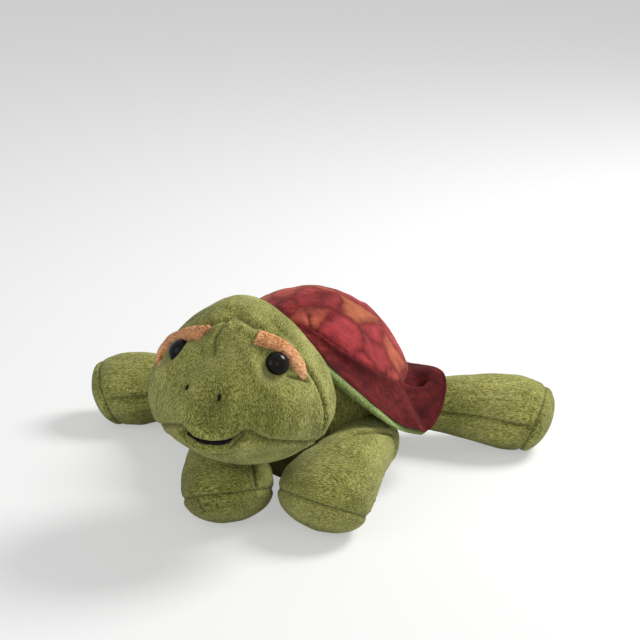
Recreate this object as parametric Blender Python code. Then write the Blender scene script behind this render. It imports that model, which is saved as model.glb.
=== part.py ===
"""Plush turtle lying on its belly: sewn pile-fabric covers over fibre fillings, with plastic eyes.

Metres, +Z up. The turtle faces -Y and its left side is +X. The origin is the middle of the
belly's flat face, on the surface that the toy lies on. An azimuth is counted from the front,
-Y, towards the turtle's left, +X.
"""

import math

import bmesh
import bpy
from mathutils import Matrix, Vector

# Sewing: the play between pieces that touch, the fabric and what the floor presses flat
GAP = 0.0003
FABRIC = 0.0020
FILL_EASE = 0.0008
FLOOR_PRESS = 0.0005

# Torso: the belly, chest and flanks in one sewn cover
TORSO_HALF_WIDTH = 0.060
TORSO_HALF_LENGTH = 0.068
TORSO_HALF_HEIGHT = 0.062
TORSO_CENTRE_HEIGHT = 0.045
TORSO_SETBACK = 0.012

# Shell: the printed dome on the back, its rim high over the neck and low behind
SHELL_LIP = 0.0020
SHELL_SETTLE = 0.0015
SHELL_RISE = 0.0075
SHELL_DRAW_SHARE = 0.07
RIM_SIDE_RISE = 0.010
RIM_CROWN_DEPTH = 0.005
RIM_REAR_DROP = 0.010
RIM_FRONT_POWER_SHARE = 1.6

# Brim: the red flange sewn under the dome's edge, and the green lining below it
BRIM_THICKNESS = 0.0024
BRIM_FRONT_REACH = 0.008
BRIM_SIDE_REACH = 0.028
BRIM_REAR_REACH = 0.007
BRIM_REAR_POWER_SHARE = 12
BRIM_CORNER_DROP = 0.027
BRIM_WING_RISE = 0.004
BRIM_CORNER_AZIMUTH = math.radians(66)
BRIM_WING_AZIMUTH = math.radians(100)
BRIM_TAIL_AZIMUTH = math.radians(125)
LINING_THICKNESS = 0.0030
LINING_ROLL = 0.0050
LINING_EASE = 0.0013

# Neck: the stuffed ball that joins the head to the chest
NECK_RADIUS = 0.024
NECK_RISE = 0.017
NECK_REACH = 0.0015

# Head
HEAD_HALF_WIDTH = 0.0536
HEAD_FRONT = 0.0445
HEAD_BACK = 0.0420
HEAD_CROWN = 0.0540
HEAD_JAW = 0.0450
HEAD_REACH = 0.0484
HEAD_SWING = math.radians(-20.6)
HEAD_TURN = math.radians(-12)
CHIN_DIP = 0.0025
CROWN_TAPER_SHARE = 0.34
CROWN_POWER_SHARE = 1.5
CHEEK_BULGE_SHARE = 0.06
CHEEK_LEVEL_SHARE = -0.35
MUZZLE_LIFT = math.radians(-6)
MUZZLE_BULGE_SHARE = 0.18
MUZZLE_SPREAD_SHARE = 0.18

# Eyes: a domed button on a stem, held by a washer inside the cover
EYE_RADIUS = 0.0066
EYE_HEIGHT = 0.0050
EYE_STEM_RADIUS = 0.0018
EYE_STEM_LENGTH = 0.0090
WASHER_RADIUS = 0.0070
WASHER_THICKNESS = 0.0014
WASHER_STANDOFF = 0.0017
EYE_AZIMUTH = math.radians(47)
EYE_LIFT = math.radians(30)
FACE_LEAN = math.radians(5)

# Brows: a padded crescent over each eye, its route in brow spans out from and up over the eye
BROW_SPAN = math.radians(20)
BROW_HALF_WIDTH = 0.0048
BROW_THICKNESS = 0.0034
BROW_TAPER_SHARE = 0.4
BROW_ROUTE_SHARES = ((-0.70, 0.75), (-0.30, 0.86), (0.15, 0.86), (0.70, 0.58), (0.95, 0.12), (0.98, -0.50))

# Stitched nostrils and mouth
THREAD_RADIUS = 0.0006
NOSTRIL_AZIMUTH = math.radians(12)
NOSTRIL_LIFT = math.radians(14.5)
NOSTRIL_HALF_TALL = math.radians(2.2)
NOSTRIL_LEAN = math.radians(-2)
MOUTH_HALF_WIDE = math.radians(12)
MOUTH_LIFT = math.radians(-16)
MOUTH_CURL = math.radians(3.5)
MOUTH_LEAN = math.radians(6)

# Front legs: bent stumps that lie under the chin, with a sole turned to the floor
FRONT_HIP_AZIMUTH = math.radians(53)
FRONT_HIP_HEIGHT = 0.028
FRONT_HIP_RADIUS = 0.020
FRONT_LEG_LENGTH = 0.071
FRONT_SHANK_LENGTH = 0.018
FRONT_LEG_HALF_WIDTH = 0.0270
FRONT_LEG_HALF_HEIGHT = 0.0240
FRONT_SOLE_BULGE = 0.0170
FRONT_SOLE_TILT = math.radians(61)
FRONT_SOLE_TOE_IN = math.radians(26)
FRONT_TOE_IN_LEFT = math.radians(11)
FRONT_TOE_IN_RIGHT = math.radians(14)
FRONT_SWELL_SHARE = 0.8
FRONT_DRAW_SHARE = 0.03
FRONT_SWEEP = math.radians(20)

# Rear legs: stumps that lie out to the sides, with a round sole at the end
REAR_HIP_AZIMUTH = math.radians(117)
REAR_HIP_HEIGHT = 0.027
REAR_HIP_RADIUS = 0.0170
REAR_LEG_LENGTH = 0.092
REAR_SHANK_LENGTH = 0.022
REAR_LEG_RADIUS = 0.0255
REAR_SOLE_BULGE = 0.0125
REAR_SOLE_TILT = math.radians(20)
REAR_SWELL_SHARE = 0.75
REAR_DRAW_SHARE = 0.10
REAR_FORWARD_LEFT = math.radians(-3)
REAR_FORWARD_RIGHT = math.radians(7)
REAR_SWEEP_FORWARD = math.radians(20)

# Tail: a small padded point under the brim
TAIL_LENGTH = 0.022
TAIL_HALF_WIDTH = 0.009
TAIL_HALF_HEIGHT = 0.006
TAIL_HEIGHT = 0.020

# How finely the surfaces are divided
BODY_SIDES = 28
BODY_ROWS = 8
FILLING_ROWS = 6
HEAD_SIDES = 32
HEAD_ROWS = 18
HEAD_FILLING_SIDES = 20
HEAD_FILLING_ROWS = 10
BRIM_STEPS = 52
BRIM_SECTION = 6
LIMB_SIDES = 16
LIMB_ROWS = 6
ROOT_ROWS = 3
SOLE_ROWS = 3
BALL_SIDES = 20
BALL_ROWS = 10
TRIM_SIDES = 6
BROW_SIDES = 12
EYE_SIDES = 18

UP = Vector((0, 0, 1))


# Materials
def make_material(name, colour, roughness):
    material = bpy.data.materials.new(name)
    material.use_nodes = True
    shader = material.node_tree.nodes["Principled BSDF"]
    shader.inputs["Base Color"].default_value = (*colour, 1.0)
    shader.inputs["Roughness"].default_value = roughness
    material.diffuse_color = (*colour, 1.0)
    return material


# Blending and directions
def ease(share):
    share = max(0.0, min(1.0, share))
    return share * share * (3 - 2 * share)


def mix(start, end, share):
    return start + (end - start) * share


def outward(azimuth):
    return Vector((math.sin(azimuth), -math.cos(azimuth), 0))


def direction(azimuth, lift):
    return outward(azimuth) * math.cos(lift) + UP * math.sin(lift)


# Mesh helpers
def make_pivot(name, place):
    """An empty on a joint's axis, which carries the pieces that turn about it."""
    pivot = bpy.data.objects.new(name, None)
    pivot.location = place
    bpy.context.scene.collection.objects.link(pivot)
    return pivot


def make_object(name, skin, material=None, pivot=None):
    """An object from a bmesh in world coordinates, carried by pivot where there is one."""
    if pivot:
        bmesh.ops.translate(skin, verts=skin.verts, vec=-pivot.location)
    bmesh.ops.recalc_face_normals(skin, faces=skin.faces)
    if skin.calc_volume(signed=True) < 0:
        bmesh.ops.reverse_faces(skin, faces=skin.faces)
    mesh = bpy.data.meshes.new(name)
    skin.to_mesh(mesh)
    skin.free()
    mesh.shade_smooth()
    if material:
        mesh.materials.append(material)
    item = bpy.data.objects.new(name, mesh)
    item.parent = pivot
    bpy.context.scene.collection.objects.link(item)
    return item


def make_cutter(name, skin):
    cutter = make_object(name, skin)
    cutter.hide_render = True
    cutter.display_type = "WIRE"
    return cutter


def cut(item, cutters):
    for cutter in cutters:
        modifier = item.modifiers.new(cutter.name, "BOOLEAN")
        modifier.operation = "DIFFERENCE"
        modifier.solver = "EXACT"
        modifier.object = cutter


def split(skin):
    """Triangles along the shorter diagonals, so that nested skins bend along the same lines."""
    bmesh.ops.triangulate(skin, faces=skin.faces, quad_method="SHORT_EDGE")
    return skin


def form_mesh(rows, sides):
    """A closed skin from pole to pole: each row is a function of the angle round the form."""
    skin = bmesh.new()
    last = len(rows) - 1
    bmesh.ops.create_uvsphere(skin, u_segments=sides, v_segments=last, radius=1)
    for vertex in skin.verts:
        row = round(math.acos(max(-1.0, min(1.0, vertex.co.z))) / math.pi * last)
        turn = math.atan2(vertex.co.y, vertex.co.x) + math.pi / 2
        step = round(turn / math.tau * sides) % sides
        vertex.co = rows[row](step / sides * math.tau)
    return split(skin)


def band_mesh(place, steps, section):
    """A closed ring: place(azimuth, turn) puts each point, turn going round the section."""
    band = bmesh.new()
    circle = bmesh.ops.create_circle(band, segments=section, radius=0.5)["verts"]
    upright = Matrix.Rotation(math.pi / 2, 3, "X") @ Matrix.Rotation(-math.pi / 2, 3, "Z")
    bmesh.ops.rotate(band, verts=circle, matrix=upright)
    bmesh.ops.translate(band, verts=circle, vec=(1, 0, 0))
    bmesh.ops.spin(band, geom=band.verts[:] + band.edges[:], axis=UP, cent=(0, 0, 0),
                   angle=math.tau, steps=steps, use_merge=True)
    for vertex in band.verts:
        step = round(math.atan2(vertex.co.y, vertex.co.x) / math.tau * steps) % steps
        turn = math.atan2(vertex.co.z, math.hypot(vertex.co.x, vertex.co.y) - 1)
        turn = round(turn / math.tau * section) % section
        vertex.co = place(step / steps * math.tau, turn / section * math.tau)
    return split(band)


def ball_mesh(centre, radius, sides=BALL_SIDES, rows=BALL_ROWS):
    ball = bmesh.new()
    bmesh.ops.create_uvsphere(ball, u_segments=sides, v_segments=rows, radius=radius)
    bmesh.ops.translate(ball, verts=ball.verts, vec=centre)
    return ball


FLATS_SHARE = math.cos(math.pi / BALL_SIDES) * math.cos(math.pi / (2 * BALL_ROWS))


def socket_cutter(name, centre, radius):
    """A faceted ball whose flats still clear a ball of this radius by the gap."""
    return make_cutter(name, ball_mesh(centre, (radius + GAP) / FLATS_SHARE))


def rod_mesh(start, axis, length, radius):
    rod = bmesh.new()
    bmesh.ops.create_cone(rod, cap_ends=True, segments=EYE_SIDES, radius1=radius, radius2=radius, depth=length)
    bmesh.ops.translate(rod, verts=rod.verts, vec=UP * length / 2)
    bmesh.ops.rotate(rod, verts=rod.verts, matrix=UP.rotation_difference(axis).to_matrix())
    bmesh.ops.translate(rod, verts=rod.verts, vec=start)
    return rod


def pressed(rows, floor=0.0):
    """The same rows with whatever would sink below the floor lying flat on it."""
    def press(row):
        def place(angle):
            point = row(angle)
            point.z = max(point.z, floor)
            return point
        return place
    return [press(row) for row in rows]


# Torso and shell surfaces
def level_share(height, centre, half):
    return math.sqrt(max(0.0, 1 - ((height - centre) / half) ** 2))


def torso_point(azimuth, height, inset=0.0):
    share = level_share(height, TORSO_CENTRE_HEIGHT, TORSO_HALF_HEIGHT - inset)
    return Vector(((TORSO_HALF_WIDTH - inset) * share * math.sin(azimuth),
                   TORSO_SETBACK - (TORSO_HALF_LENGTH - inset) * share * math.cos(azimuth), height))


def rim_height(azimuth):
    ahead = math.cos(azimuth)
    side_height = TORSO_CENTRE_HEIGHT + RIM_SIDE_RISE
    if ahead > 0:
        front_rise = TORSO_HALF_HEIGHT - RIM_CROWN_DEPTH - RIM_SIDE_RISE
        return side_height + front_rise * ahead ** RIM_FRONT_POWER_SHARE
    return side_height - RIM_REAR_DROP * ahead ** 2


SHELL_CENTRE_HEIGHT = TORSO_CENTRE_HEIGHT + SHELL_RISE
SHELL_HALF_HEIGHT = TORSO_HALF_HEIGHT - SHELL_SETTLE
SHELL_HALF_WIDTH = TORSO_HALF_WIDTH + SHELL_LIP
SHELL_HALF_LENGTH = TORSO_HALF_LENGTH + SHELL_LIP


def shell_lift(height, inset=0.0):
    return math.asin(max(-1.0, min(1.0, (height - SHELL_CENTRE_HEIGHT) / (SHELL_HALF_HEIGHT - inset))))


def shell_point(azimuth, lift, inset=0.0):
    """A point of the dome, by how far round it lies and how far up from its widest level."""
    behind = (1 - math.cos(azimuth)) / 2
    share = math.cos(lift) * (1 - SHELL_DRAW_SHARE * behind * math.sin(2 * lift) ** 2)
    return Vector(((SHELL_HALF_WIDTH - inset) * share * math.sin(azimuth),
                   TORSO_SETBACK - (SHELL_HALF_LENGTH - inset) * share * math.cos(azimuth),
                   SHELL_CENTRE_HEIGHT + (SHELL_HALF_HEIGHT - inset) * math.sin(lift)))


def torso_rows(inset, top, count):
    """Rows from the belly's middle up the torso to top(azimuth), nested inside one another by inset."""
    low = math.asin((-FLOOR_PRESS - TORSO_CENTRE_HEIGHT) / TORSO_HALF_HEIGHT)

    def row(share):
        def place(angle):
            high = math.asin((top(angle) - TORSO_CENTRE_HEIGHT) / TORSO_HALF_HEIGHT)
            rise = (TORSO_HALF_HEIGHT - inset) * math.sin(mix(low, high, share))
            return torso_point(angle, TORSO_CENTRE_HEIGHT + rise, inset)
        return place

    middle = Vector((0, TORSO_SETBACK, -FLOOR_PRESS))
    rows = [lambda angle: middle.copy()] + [row(step / count) for step in range(count + 1)]
    return pressed(rows, max(0.0, inset)) if inset >= 0 else rows


def rim_row(inset):
    """The torso's outline at the height of the dome's rim."""
    return lambda angle: torso_point(angle, rim_height(angle), inset)


def dome_rows(inset, bottom, count):
    """Rows from bottom(azimuth) up the dome to its top."""
    def row(share):
        def place(angle):
            low = shell_lift(bottom(angle), inset)
            return shell_point(angle, mix(low, math.pi / 2, share), inset)
        return place
    return [row(step / count) for step in range(count + 1)]


# Body pieces
def torso_top(azimuth):
    return rim_height(azimuth) - BRIM_THICKNESS - GAP


def shell_edge(azimuth):
    return rim_height(azimuth) + GAP


def make_body(materials):
    outer = torso_rows(0.0, torso_top, BODY_ROWS)
    inner = torso_rows(FABRIC, torso_top, FILLING_ROWS)
    cover = make_object("body_cover", form_mesh(outer + inner[::-1], BODY_SIDES), materials["green_plush"])

    inset = FABRIC + FILL_EASE
    lower = torso_rows(inset, torso_top, FILLING_ROWS) + [rim_row(inset)]
    upper = dome_rows(inset, shell_edge, FILLING_ROWS)
    filling = make_object("body_filling", form_mesh(lower + upper, BODY_SIDES), materials["filling"])

    sockets = [socket_cutter("neck_socket", NECK, NECK_RADIUS)]
    for side_name, side in SIDES:
        sockets.append(socket_cutter("front_socket_" + side_name, front_hip(side), FRONT_HIP_RADIUS))
        sockets.append(socket_cutter("rear_socket_" + side_name, rear_hip(side), REAR_HIP_RADIUS))
    cut(cover, sockets)
    cut(filling, sockets)


def make_shell(materials):
    outer = dome_rows(0.0, shell_edge, BODY_ROWS)
    inner = dome_rows(FABRIC, shell_edge, FILLING_ROWS)
    make_object("shell_cover", form_mesh(outer[::-1] + inner, BODY_SIDES), materials["shell_print"])


def brim_reach(azimuth):
    side = abs(math.sin(azimuth))
    if math.cos(azimuth) > 0:
        return mix(BRIM_FRONT_REACH, BRIM_SIDE_REACH, side)
    return mix(BRIM_REAR_REACH, BRIM_SIDE_REACH, side ** BRIM_REAR_POWER_SHARE)


def brim_drop(azimuth):
    turn = abs(math.remainder(azimuth, math.tau))
    if turn < BRIM_CORNER_AZIMUTH:
        return BRIM_CORNER_DROP * ease(turn / BRIM_CORNER_AZIMUTH)
    if turn < BRIM_WING_AZIMUTH:
        share = (turn - BRIM_CORNER_AZIMUTH) / (BRIM_WING_AZIMUTH - BRIM_CORNER_AZIMUTH)
        return mix(BRIM_CORNER_DROP, -BRIM_WING_RISE, ease(share))
    return -BRIM_WING_RISE * ease((BRIM_TAIL_AZIMUTH - turn) / (BRIM_TAIL_AZIMUTH - BRIM_WING_AZIMUTH))


def brim_frame(azimuth, share):
    """A point half way through the brim, and the way up out of it."""
    height = rim_height(azimuth)
    seam = shell_point(azimuth, shell_lift(height), FABRIC / 2)
    seam.z = height - GAP - BRIM_THICKNESS / 2
    run = outward(azimuth) * brim_reach(azimuth) - UP * brim_drop(azimuth)
    across = run.normalized().cross(UP).normalized()
    return seam + run * share, across.cross(run).normalized()


def make_brim(materials):
    def brim_place(azimuth, turn):
        point, up = brim_frame(azimuth, (1 + math.cos(turn)) / 2)
        return point + up * (BRIM_THICKNESS / 2 * math.sin(turn))

    def lining_place(azimuth, turn):
        share = (1 + math.cos(turn)) / 2
        ahead = min(1.0, abs(math.remainder(azimuth, math.tau)) / BRIM_CORNER_AZIMUTH)
        thickness = LINING_THICKNESS + LINING_ROLL * max(0.0, math.sin(math.pi * ahead)) * share
        point, up = brim_frame(azimuth, share)
        point -= up * (BRIM_THICKNESS / 2 + LINING_EASE + thickness / 2)
        start, start_up = brim_frame(azimuth, 0.0)
        start -= start_up * (BRIM_THICKNESS / 2 + LINING_EASE + LINING_THICKNESS / 2)
        inner = torso_point(azimuth, start.z - LINING_THICKNESS / 2)
        gap = (start - inner).dot(outward(azimuth)) - 2 * GAP
        point -= outward(azimuth) * (gap * (1 - share) ** 2)
        return point + up * (thickness / 2 * math.sin(turn))

    make_object("shell_brim", band_mesh(brim_place, BRIM_STEPS, BRIM_SECTION), materials["red_plush"])
    make_object("brim_lining", band_mesh(lining_place, BRIM_STEPS, BRIM_SECTION), materials["lining_plush"])


# Neck and head
NECK = torso_point(0, TORSO_CENTRE_HEIGHT + NECK_RISE) + outward(0) * NECK_REACH
HEAD_SPIN = Matrix.Rotation(HEAD_TURN, 3, "Z")
HEAD_CENTRE = NECK + outward(HEAD_SWING) * HEAD_REACH
HEAD_CENTRE.z = 2 * FRONT_LEG_HALF_HEIGHT - CHIN_DIP + HEAD_JAW
MUZZLE = direction(0, MUZZLE_LIFT)


def head_place(point):
    """From the head's own frame, where it faces -Y about its middle, to the world."""
    return HEAD_CENTRE + HEAD_SPIN @ point


def head_point(way, inset=0.0):
    """The head's surface in its own frame, in the way of a unit vector: full cheeks, a narrow crown, a muzzle."""
    girth = 1 - CROWN_TAPER_SHARE * max(0.0, way.z) ** CROWN_POWER_SHARE
    girth += CHEEK_BULGE_SHARE * math.exp(-((way.z - CHEEK_LEVEL_SHARE) / CHEEK_LEVEL_SHARE) ** 2)
    muzzle = 1 + MUZZLE_BULGE_SHARE * math.exp((way.dot(MUZZLE) - 1) / MUZZLE_SPREAD_SHARE)
    depth = HEAD_FRONT * muzzle if way.y < 0 else HEAD_BACK
    tall = HEAD_CROWN if way.z > 0 else HEAD_JAW
    return Vector(((HEAD_HALF_WIDTH * girth - inset) * way.x, (depth * girth - inset) * way.y,
                   (tall - inset) * way.z))


def head_normal(way):
    side = way.cross(UP).normalized()
    rise = side.cross(way)
    near = GAP / HEAD_HALF_WIDTH
    a = head_point((way + side * near).normalized()) - head_point((way - side * near).normalized())
    b = head_point((way + rise * near).normalized()) - head_point((way - rise * near).normalized())
    return b.cross(a).normalized()


def head_way(way, point):
    """The way, close to the one given, whose point of the surface lies next to this point."""
    for _ in range(HEAD_ROWS):
        way = (way + (point - head_point(way)) / HEAD_HALF_WIDTH).normalized()
    return way


def head_rows(inset, count):
    def row(lift):
        return lambda angle: head_place(head_point(direction(angle, lift), inset))
    return [row(math.pi * (0.5 - step / count)) for step in range(count + 1)]


def make_neck(materials, pivot):
    make_object("neck", ball_mesh(NECK, NECK_RADIUS), materials["green_plush"], pivot)


def eye_frame(side):
    """The eye's seat on the head and the way it looks, in the head's own frame."""
    way = direction(FACE_LEAN + side * EYE_AZIMUTH, EYE_LIFT)
    return head_point(way), head_normal(way)


def eye_rows(seat, axis, side_way):
    other = axis.cross(side_way)

    def ring(radius, height):
        return lambda angle: head_place(
            seat + axis * height + (side_way * math.cos(angle) + other * math.sin(angle)) * radius)

    dome = [math.pi / 2 * step / SOLE_ROWS for step in range(SOLE_ROWS + 1)]
    rows = [ring(EYE_RADIUS * math.sin(turn), GAP + EYE_HEIGHT * math.cos(turn)) for turn in dome]
    rows += [ring(EYE_STEM_RADIUS, GAP), ring(EYE_STEM_RADIUS, -EYE_STEM_LENGTH), ring(0.0, -EYE_STEM_LENGTH)]
    return rows


def make_eye(side_name, side, materials, pivot):
    seat, axis = eye_frame(side)
    side_way = axis.cross(UP).normalized()
    rows = eye_rows(seat, axis, side_way)
    make_object("eye_" + side_name, form_mesh(rows, EYE_SIDES), materials["eye_plastic"], pivot)

    depth = FABRIC + WASHER_STANDOFF + WASHER_THICKNESS / 2
    bore = EYE_STEM_RADIUS + GAP
    mid, half = (WASHER_RADIUS + bore) / 2, (WASHER_RADIUS - bore) / 2
    other = axis.cross(side_way)

    def washer_place(azimuth, turn):
        around = side_way * math.cos(azimuth) + other * math.sin(azimuth)
        edge = round(math.sqrt(2) * math.cos(turn)), round(math.sqrt(2) * math.sin(turn))
        point = seat + around * (mid + half * edge[0]) - axis * (depth - WASHER_THICKNESS / 2 * edge[1])
        return head_place(point)

    def corners(azimuth, turn):
        return washer_place(azimuth, turn + math.pi / 4)

    make_object("eye_washer_" + side_name, band_mesh(corners, EYE_SIDES, 4), materials["washer_plastic"], pivot)
    spin = HEAD_SPIN @ axis
    stem_room = make_cutter("stem_room_" + side_name,
                            rod_mesh(head_place(seat + axis * EYE_HEIGHT), -spin,
                                     EYE_HEIGHT + EYE_STEM_LENGTH + GAP, EYE_STEM_RADIUS + 2 * GAP))
    washer_room = make_cutter("washer_room_" + side_name,
                              rod_mesh(head_place(seat), -spin,
                                       depth + WASHER_THICKNESS / 2 + GAP, WASHER_RADIUS + 2 * GAP))
    return stem_room, washer_room


def strip_on_head(name, ways, half_width, thickness, material, pivot, sides=TRIM_SIDES, taper=0.0):
    """A padded strip that lies on the head along a list of directions from the head's middle."""
    points = [head_point(way) for way in ways]
    normals = [head_normal(way) for way in ways]
    last = len(ways) - 1

    def row(step):
        ahead = points[min(step + 1, last)] - points[max(step - 1, 0)]
        across = ahead.cross(normals[step]).normalized()
        swell = math.sin(math.pi * (0.5 + step) / (last + 1)) ** taper
        wide = half_width * swell

        def brow_place(angle):
            way = head_way(ways[step], points[step] + across * (wide * math.cos(angle)))
            rise = GAP + thickness * swell * max(0.0, math.sin(angle))
            return head_place(head_point(way) + head_normal(way) * rise)

        def thread_place(angle):
            rise = GAP + thickness * (1 + math.sin(angle)) / 2
            return head_place(points[step] + across * (wide * math.cos(angle)) + normals[step] * rise)

        return brow_place if taper else thread_place

    def tip(step, back):
        run = (points[step] - points[back]).normalized() * half_width
        foot = head_point(head_way(ways[step], points[step] + run))
        return lambda angle: head_place(foot + normals[step] * (GAP + (0.0 if taper else thickness / 2)))

    rows = [tip(0, 1)] + [row(step) for step in range(last + 1)] + [tip(last, last - 1)]
    return make_object(name, form_mesh(rows, sides), material, pivot)


def brow_ways(side):
    return [direction(FACE_LEAN + side * (EYE_AZIMUTH + wide * BROW_SPAN), EYE_LIFT + tall * BROW_SPAN)
            for wide, tall in BROW_ROUTE_SHARES]


def make_face(materials, pivot):
    for side_name, side in SIDES:
        strip_on_head("brow_" + side_name, brow_ways(side), BROW_HALF_WIDTH, BROW_THICKNESS,
                      materials["brow_plush"], pivot, sides=BROW_SIDES, taper=BROW_TAPER_SHARE)
        lifts = [NOSTRIL_LIFT + NOSTRIL_HALF_TALL * share for share in (-1, 0, 1)]
        strip_on_head("nostril_stitch_" + side_name,
                      [direction(NOSTRIL_LEAN + side * NOSTRIL_AZIMUTH, lift) for lift in lifts],
                      THREAD_RADIUS, 2 * THREAD_RADIUS, materials["thread"], pivot)
    steps = [step / LIMB_ROWS for step in range(-LIMB_ROWS, LIMB_ROWS + 1)]
    strip_on_head("mouth_stitch",
                  [direction(MOUTH_LEAN + MOUTH_HALF_WIDE * step, MOUTH_LIFT + MOUTH_CURL * step ** 2)
                   for step in steps],
                  THREAD_RADIUS, 2 * THREAD_RADIUS, materials["thread"], pivot)


def make_head(materials, pivot):
    socket = socket_cutter("head_socket", NECK, NECK_RADIUS)
    hollow = make_cutter("head_hollow", form_mesh(head_rows(FABRIC, HEAD_FILLING_ROWS), HEAD_FILLING_SIDES))
    cover = make_object("head_cover", form_mesh(head_rows(0.0, HEAD_ROWS), HEAD_SIDES),
                        materials["green_plush"], pivot)
    stuffing = form_mesh(head_rows(FABRIC + FILL_EASE, HEAD_FILLING_ROWS), HEAD_FILLING_SIDES)
    filling = make_object("head_filling", stuffing, materials["filling"], pivot)
    rooms = [make_eye(side_name, side, materials, pivot) for side_name, side in SIDES]
    cut(cover, [hollow, socket] + [stem_room for stem_room, _ in rooms])
    cut(filling, [socket] + [room for pair in rooms for room in pair])
    make_face(materials, pivot)


# Legs
def section_row(centre, run, wide, tall):
    """A ring round the limb, square to its run."""
    side_way = run.cross(UP).normalized()
    rise = side_way.cross(run).normalized()
    return lambda angle: centre + side_way * (wide * math.cos(angle)) + rise * (tall * math.sin(angle))


def root_rows(hip, run, radius):
    """The round end that turns in the body's socket, up to its widest ring."""
    turns = [math.pi / 2 * step / ROOT_ROWS for step in range(ROOT_ROWS)]
    return [section_row(hip - run * (radius * math.cos(turn)), run, radius * math.sin(turn),
                        radius * math.sin(turn)) for turn in turns]


def bulge_rows(centre, run, wide, tall, bulge):
    """From the sole's seam out to the middle of its bulge."""
    turns = [math.pi / 2 * step / SOLE_ROWS for step in range(SOLE_ROWS + 1)]
    return [section_row(centre + run * (bulge * math.sin(turn)), run, wide * math.cos(turn),
                        tall * math.cos(turn)) for turn in turns]


def front_hip(side):
    return torso_point(side * FRONT_HIP_AZIMUTH, FRONT_HIP_HEIGHT)


def rear_hip(side):
    return torso_point(side * REAR_HIP_AZIMUTH, REAR_HIP_HEIGHT)


def seam_height(tall, bulge, tilt):
    """How high the sole's seam is centred, for the sole to lie on the floor."""
    return math.hypot(bulge * math.sin(tilt), tall * math.cos(tilt)) - FLOOR_PRESS


def leg_stations(hip, root, foot, facing, shank, wide, tall, swell_share, draw_share):
    """Where each ring of a leg lies, which way it looks, and its half width and half height."""
    knee = foot - facing * shank
    first_run = (knee - hip).normalized()
    stations = []
    for step in range(LIMB_ROWS + 1):
        share = step / LIMB_ROWS
        centre = hip * (1 - share) ** 2 + knee * (2 * share * (1 - share)) + foot * share ** 2
        run = mix(first_run, facing, share).normalized()
        swell = ease(share / swell_share)
        drawn = 1 - draw_share * ease((share - swell_share) / (1 - swell_share))
        stations.append((centre, run, mix(root, wide, swell) * drawn, mix(root, tall, swell) * drawn))
    return stations


def front_stations(side, hip):
    """Forward and toeing in, then down on to a sole that leans forward."""
    toe_in = FRONT_TOE_IN_LEFT if side > 0 else FRONT_TOE_IN_RIGHT
    foot = hip + outward(-side * toe_in) * FRONT_LEG_LENGTH
    foot.z = seam_height(FRONT_LEG_HALF_HEIGHT, FRONT_SOLE_BULGE, FRONT_SOLE_TILT)
    facing = direction(-side * FRONT_SOLE_TOE_IN, -FRONT_SOLE_TILT)
    return leg_stations(hip, FRONT_HIP_RADIUS * FLATS_SHARE, foot, facing, FRONT_SHANK_LENGTH,
                        FRONT_LEG_HALF_WIDTH, FRONT_LEG_HALF_HEIGHT, FRONT_SWELL_SHARE, FRONT_DRAW_SHARE)


def rear_azimuth(side):
    """Straight out to the side, less how far forward this leg lies."""
    return side * (math.pi / 2 - (REAR_FORWARD_LEFT if side > 0 else REAR_FORWARD_RIGHT))


def rear_stations(side, hip):
    foot = hip + outward(rear_azimuth(side)) * REAR_LEG_LENGTH
    foot.z = seam_height(REAR_LEG_RADIUS * (1 - REAR_DRAW_SHARE), REAR_SOLE_BULGE, REAR_SOLE_TILT)
    facing = direction(rear_azimuth(side), -REAR_SOLE_TILT)
    return leg_stations(hip, REAR_HIP_RADIUS * FLATS_SHARE, foot, facing, REAR_SHANK_LENGTH,
                        REAR_LEG_RADIUS, REAR_LEG_RADIUS, REAR_SWELL_SHARE, REAR_DRAW_SHARE)


def torso_room(name, hip, hip_radius, turn):
    """What a leg can't fill: the torso, less the hip's ball, as the leg meets it once turned."""
    top = TORSO_CENTRE_HEIGHT + hip_radius
    rows = torso_rows(-GAP, lambda azimuth: top, FILLING_ROWS)
    skin = form_mesh(rows + [lambda angle: Vector((0, TORSO_SETBACK, top))], BODY_SIDES)
    bmesh.ops.rotate(skin, verts=skin.verts, cent=hip, matrix=Matrix.Rotation(-turn, 3, "Z"))
    room = make_cutter(name, skin)
    cut(room, [make_cutter(name + "_ball", ball_mesh(hip, hip_radius))])
    return room


def make_leg(name, hip, hip_radius, stations, bulge, turns, materials):
    """One leg, cut clear of the torso at rest and at the turns where it comes nearest to it."""
    pivot = make_pivot(name + "_hip", hip)
    first_run = stations[0][1]
    root_radius = hip_radius * FLATS_SHARE

    def leg_rows(inset):
        rows = root_rows(hip, first_run, root_radius - inset)
        rows += [section_row(centre, run, wide - inset, tall - inset) for centre, run, wide, tall in stations]
        return pressed(rows, inset)

    cover_rows = leg_rows(0.0) + leg_rows(FABRIC)[::-1]
    cover = make_object(name + "_cover", form_mesh(cover_rows, LIMB_SIDES), materials["green_plush"], pivot)

    centre, run, wide, tall = stations[-1]
    seam = centre + run * GAP
    outer = pressed(bulge_rows(seam, run, wide, tall, bulge))
    inner = pressed(bulge_rows(seam, run, wide - FABRIC, tall - FABRIC, bulge - FABRIC), FABRIC)
    make_object(name + "_sole", form_mesh(outer[::-1] + inner, LIMB_SIDES), materials["green_plush"], pivot)

    inset = FABRIC + FILL_EASE
    end = pressed(bulge_rows(centre, run, wide - inset, tall - inset, bulge - inset), inset)
    filling = make_object(name + "_filling", form_mesh(leg_rows(inset) + end[1:], LIMB_SIDES),
                          materials["filling"], pivot)
    for place, turn in enumerate(turns):
        room = torso_room("%s_room_%d" % (name, place), hip, hip_radius, turn)
        cut(cover, [room])
        cut(filling, [room])


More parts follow.
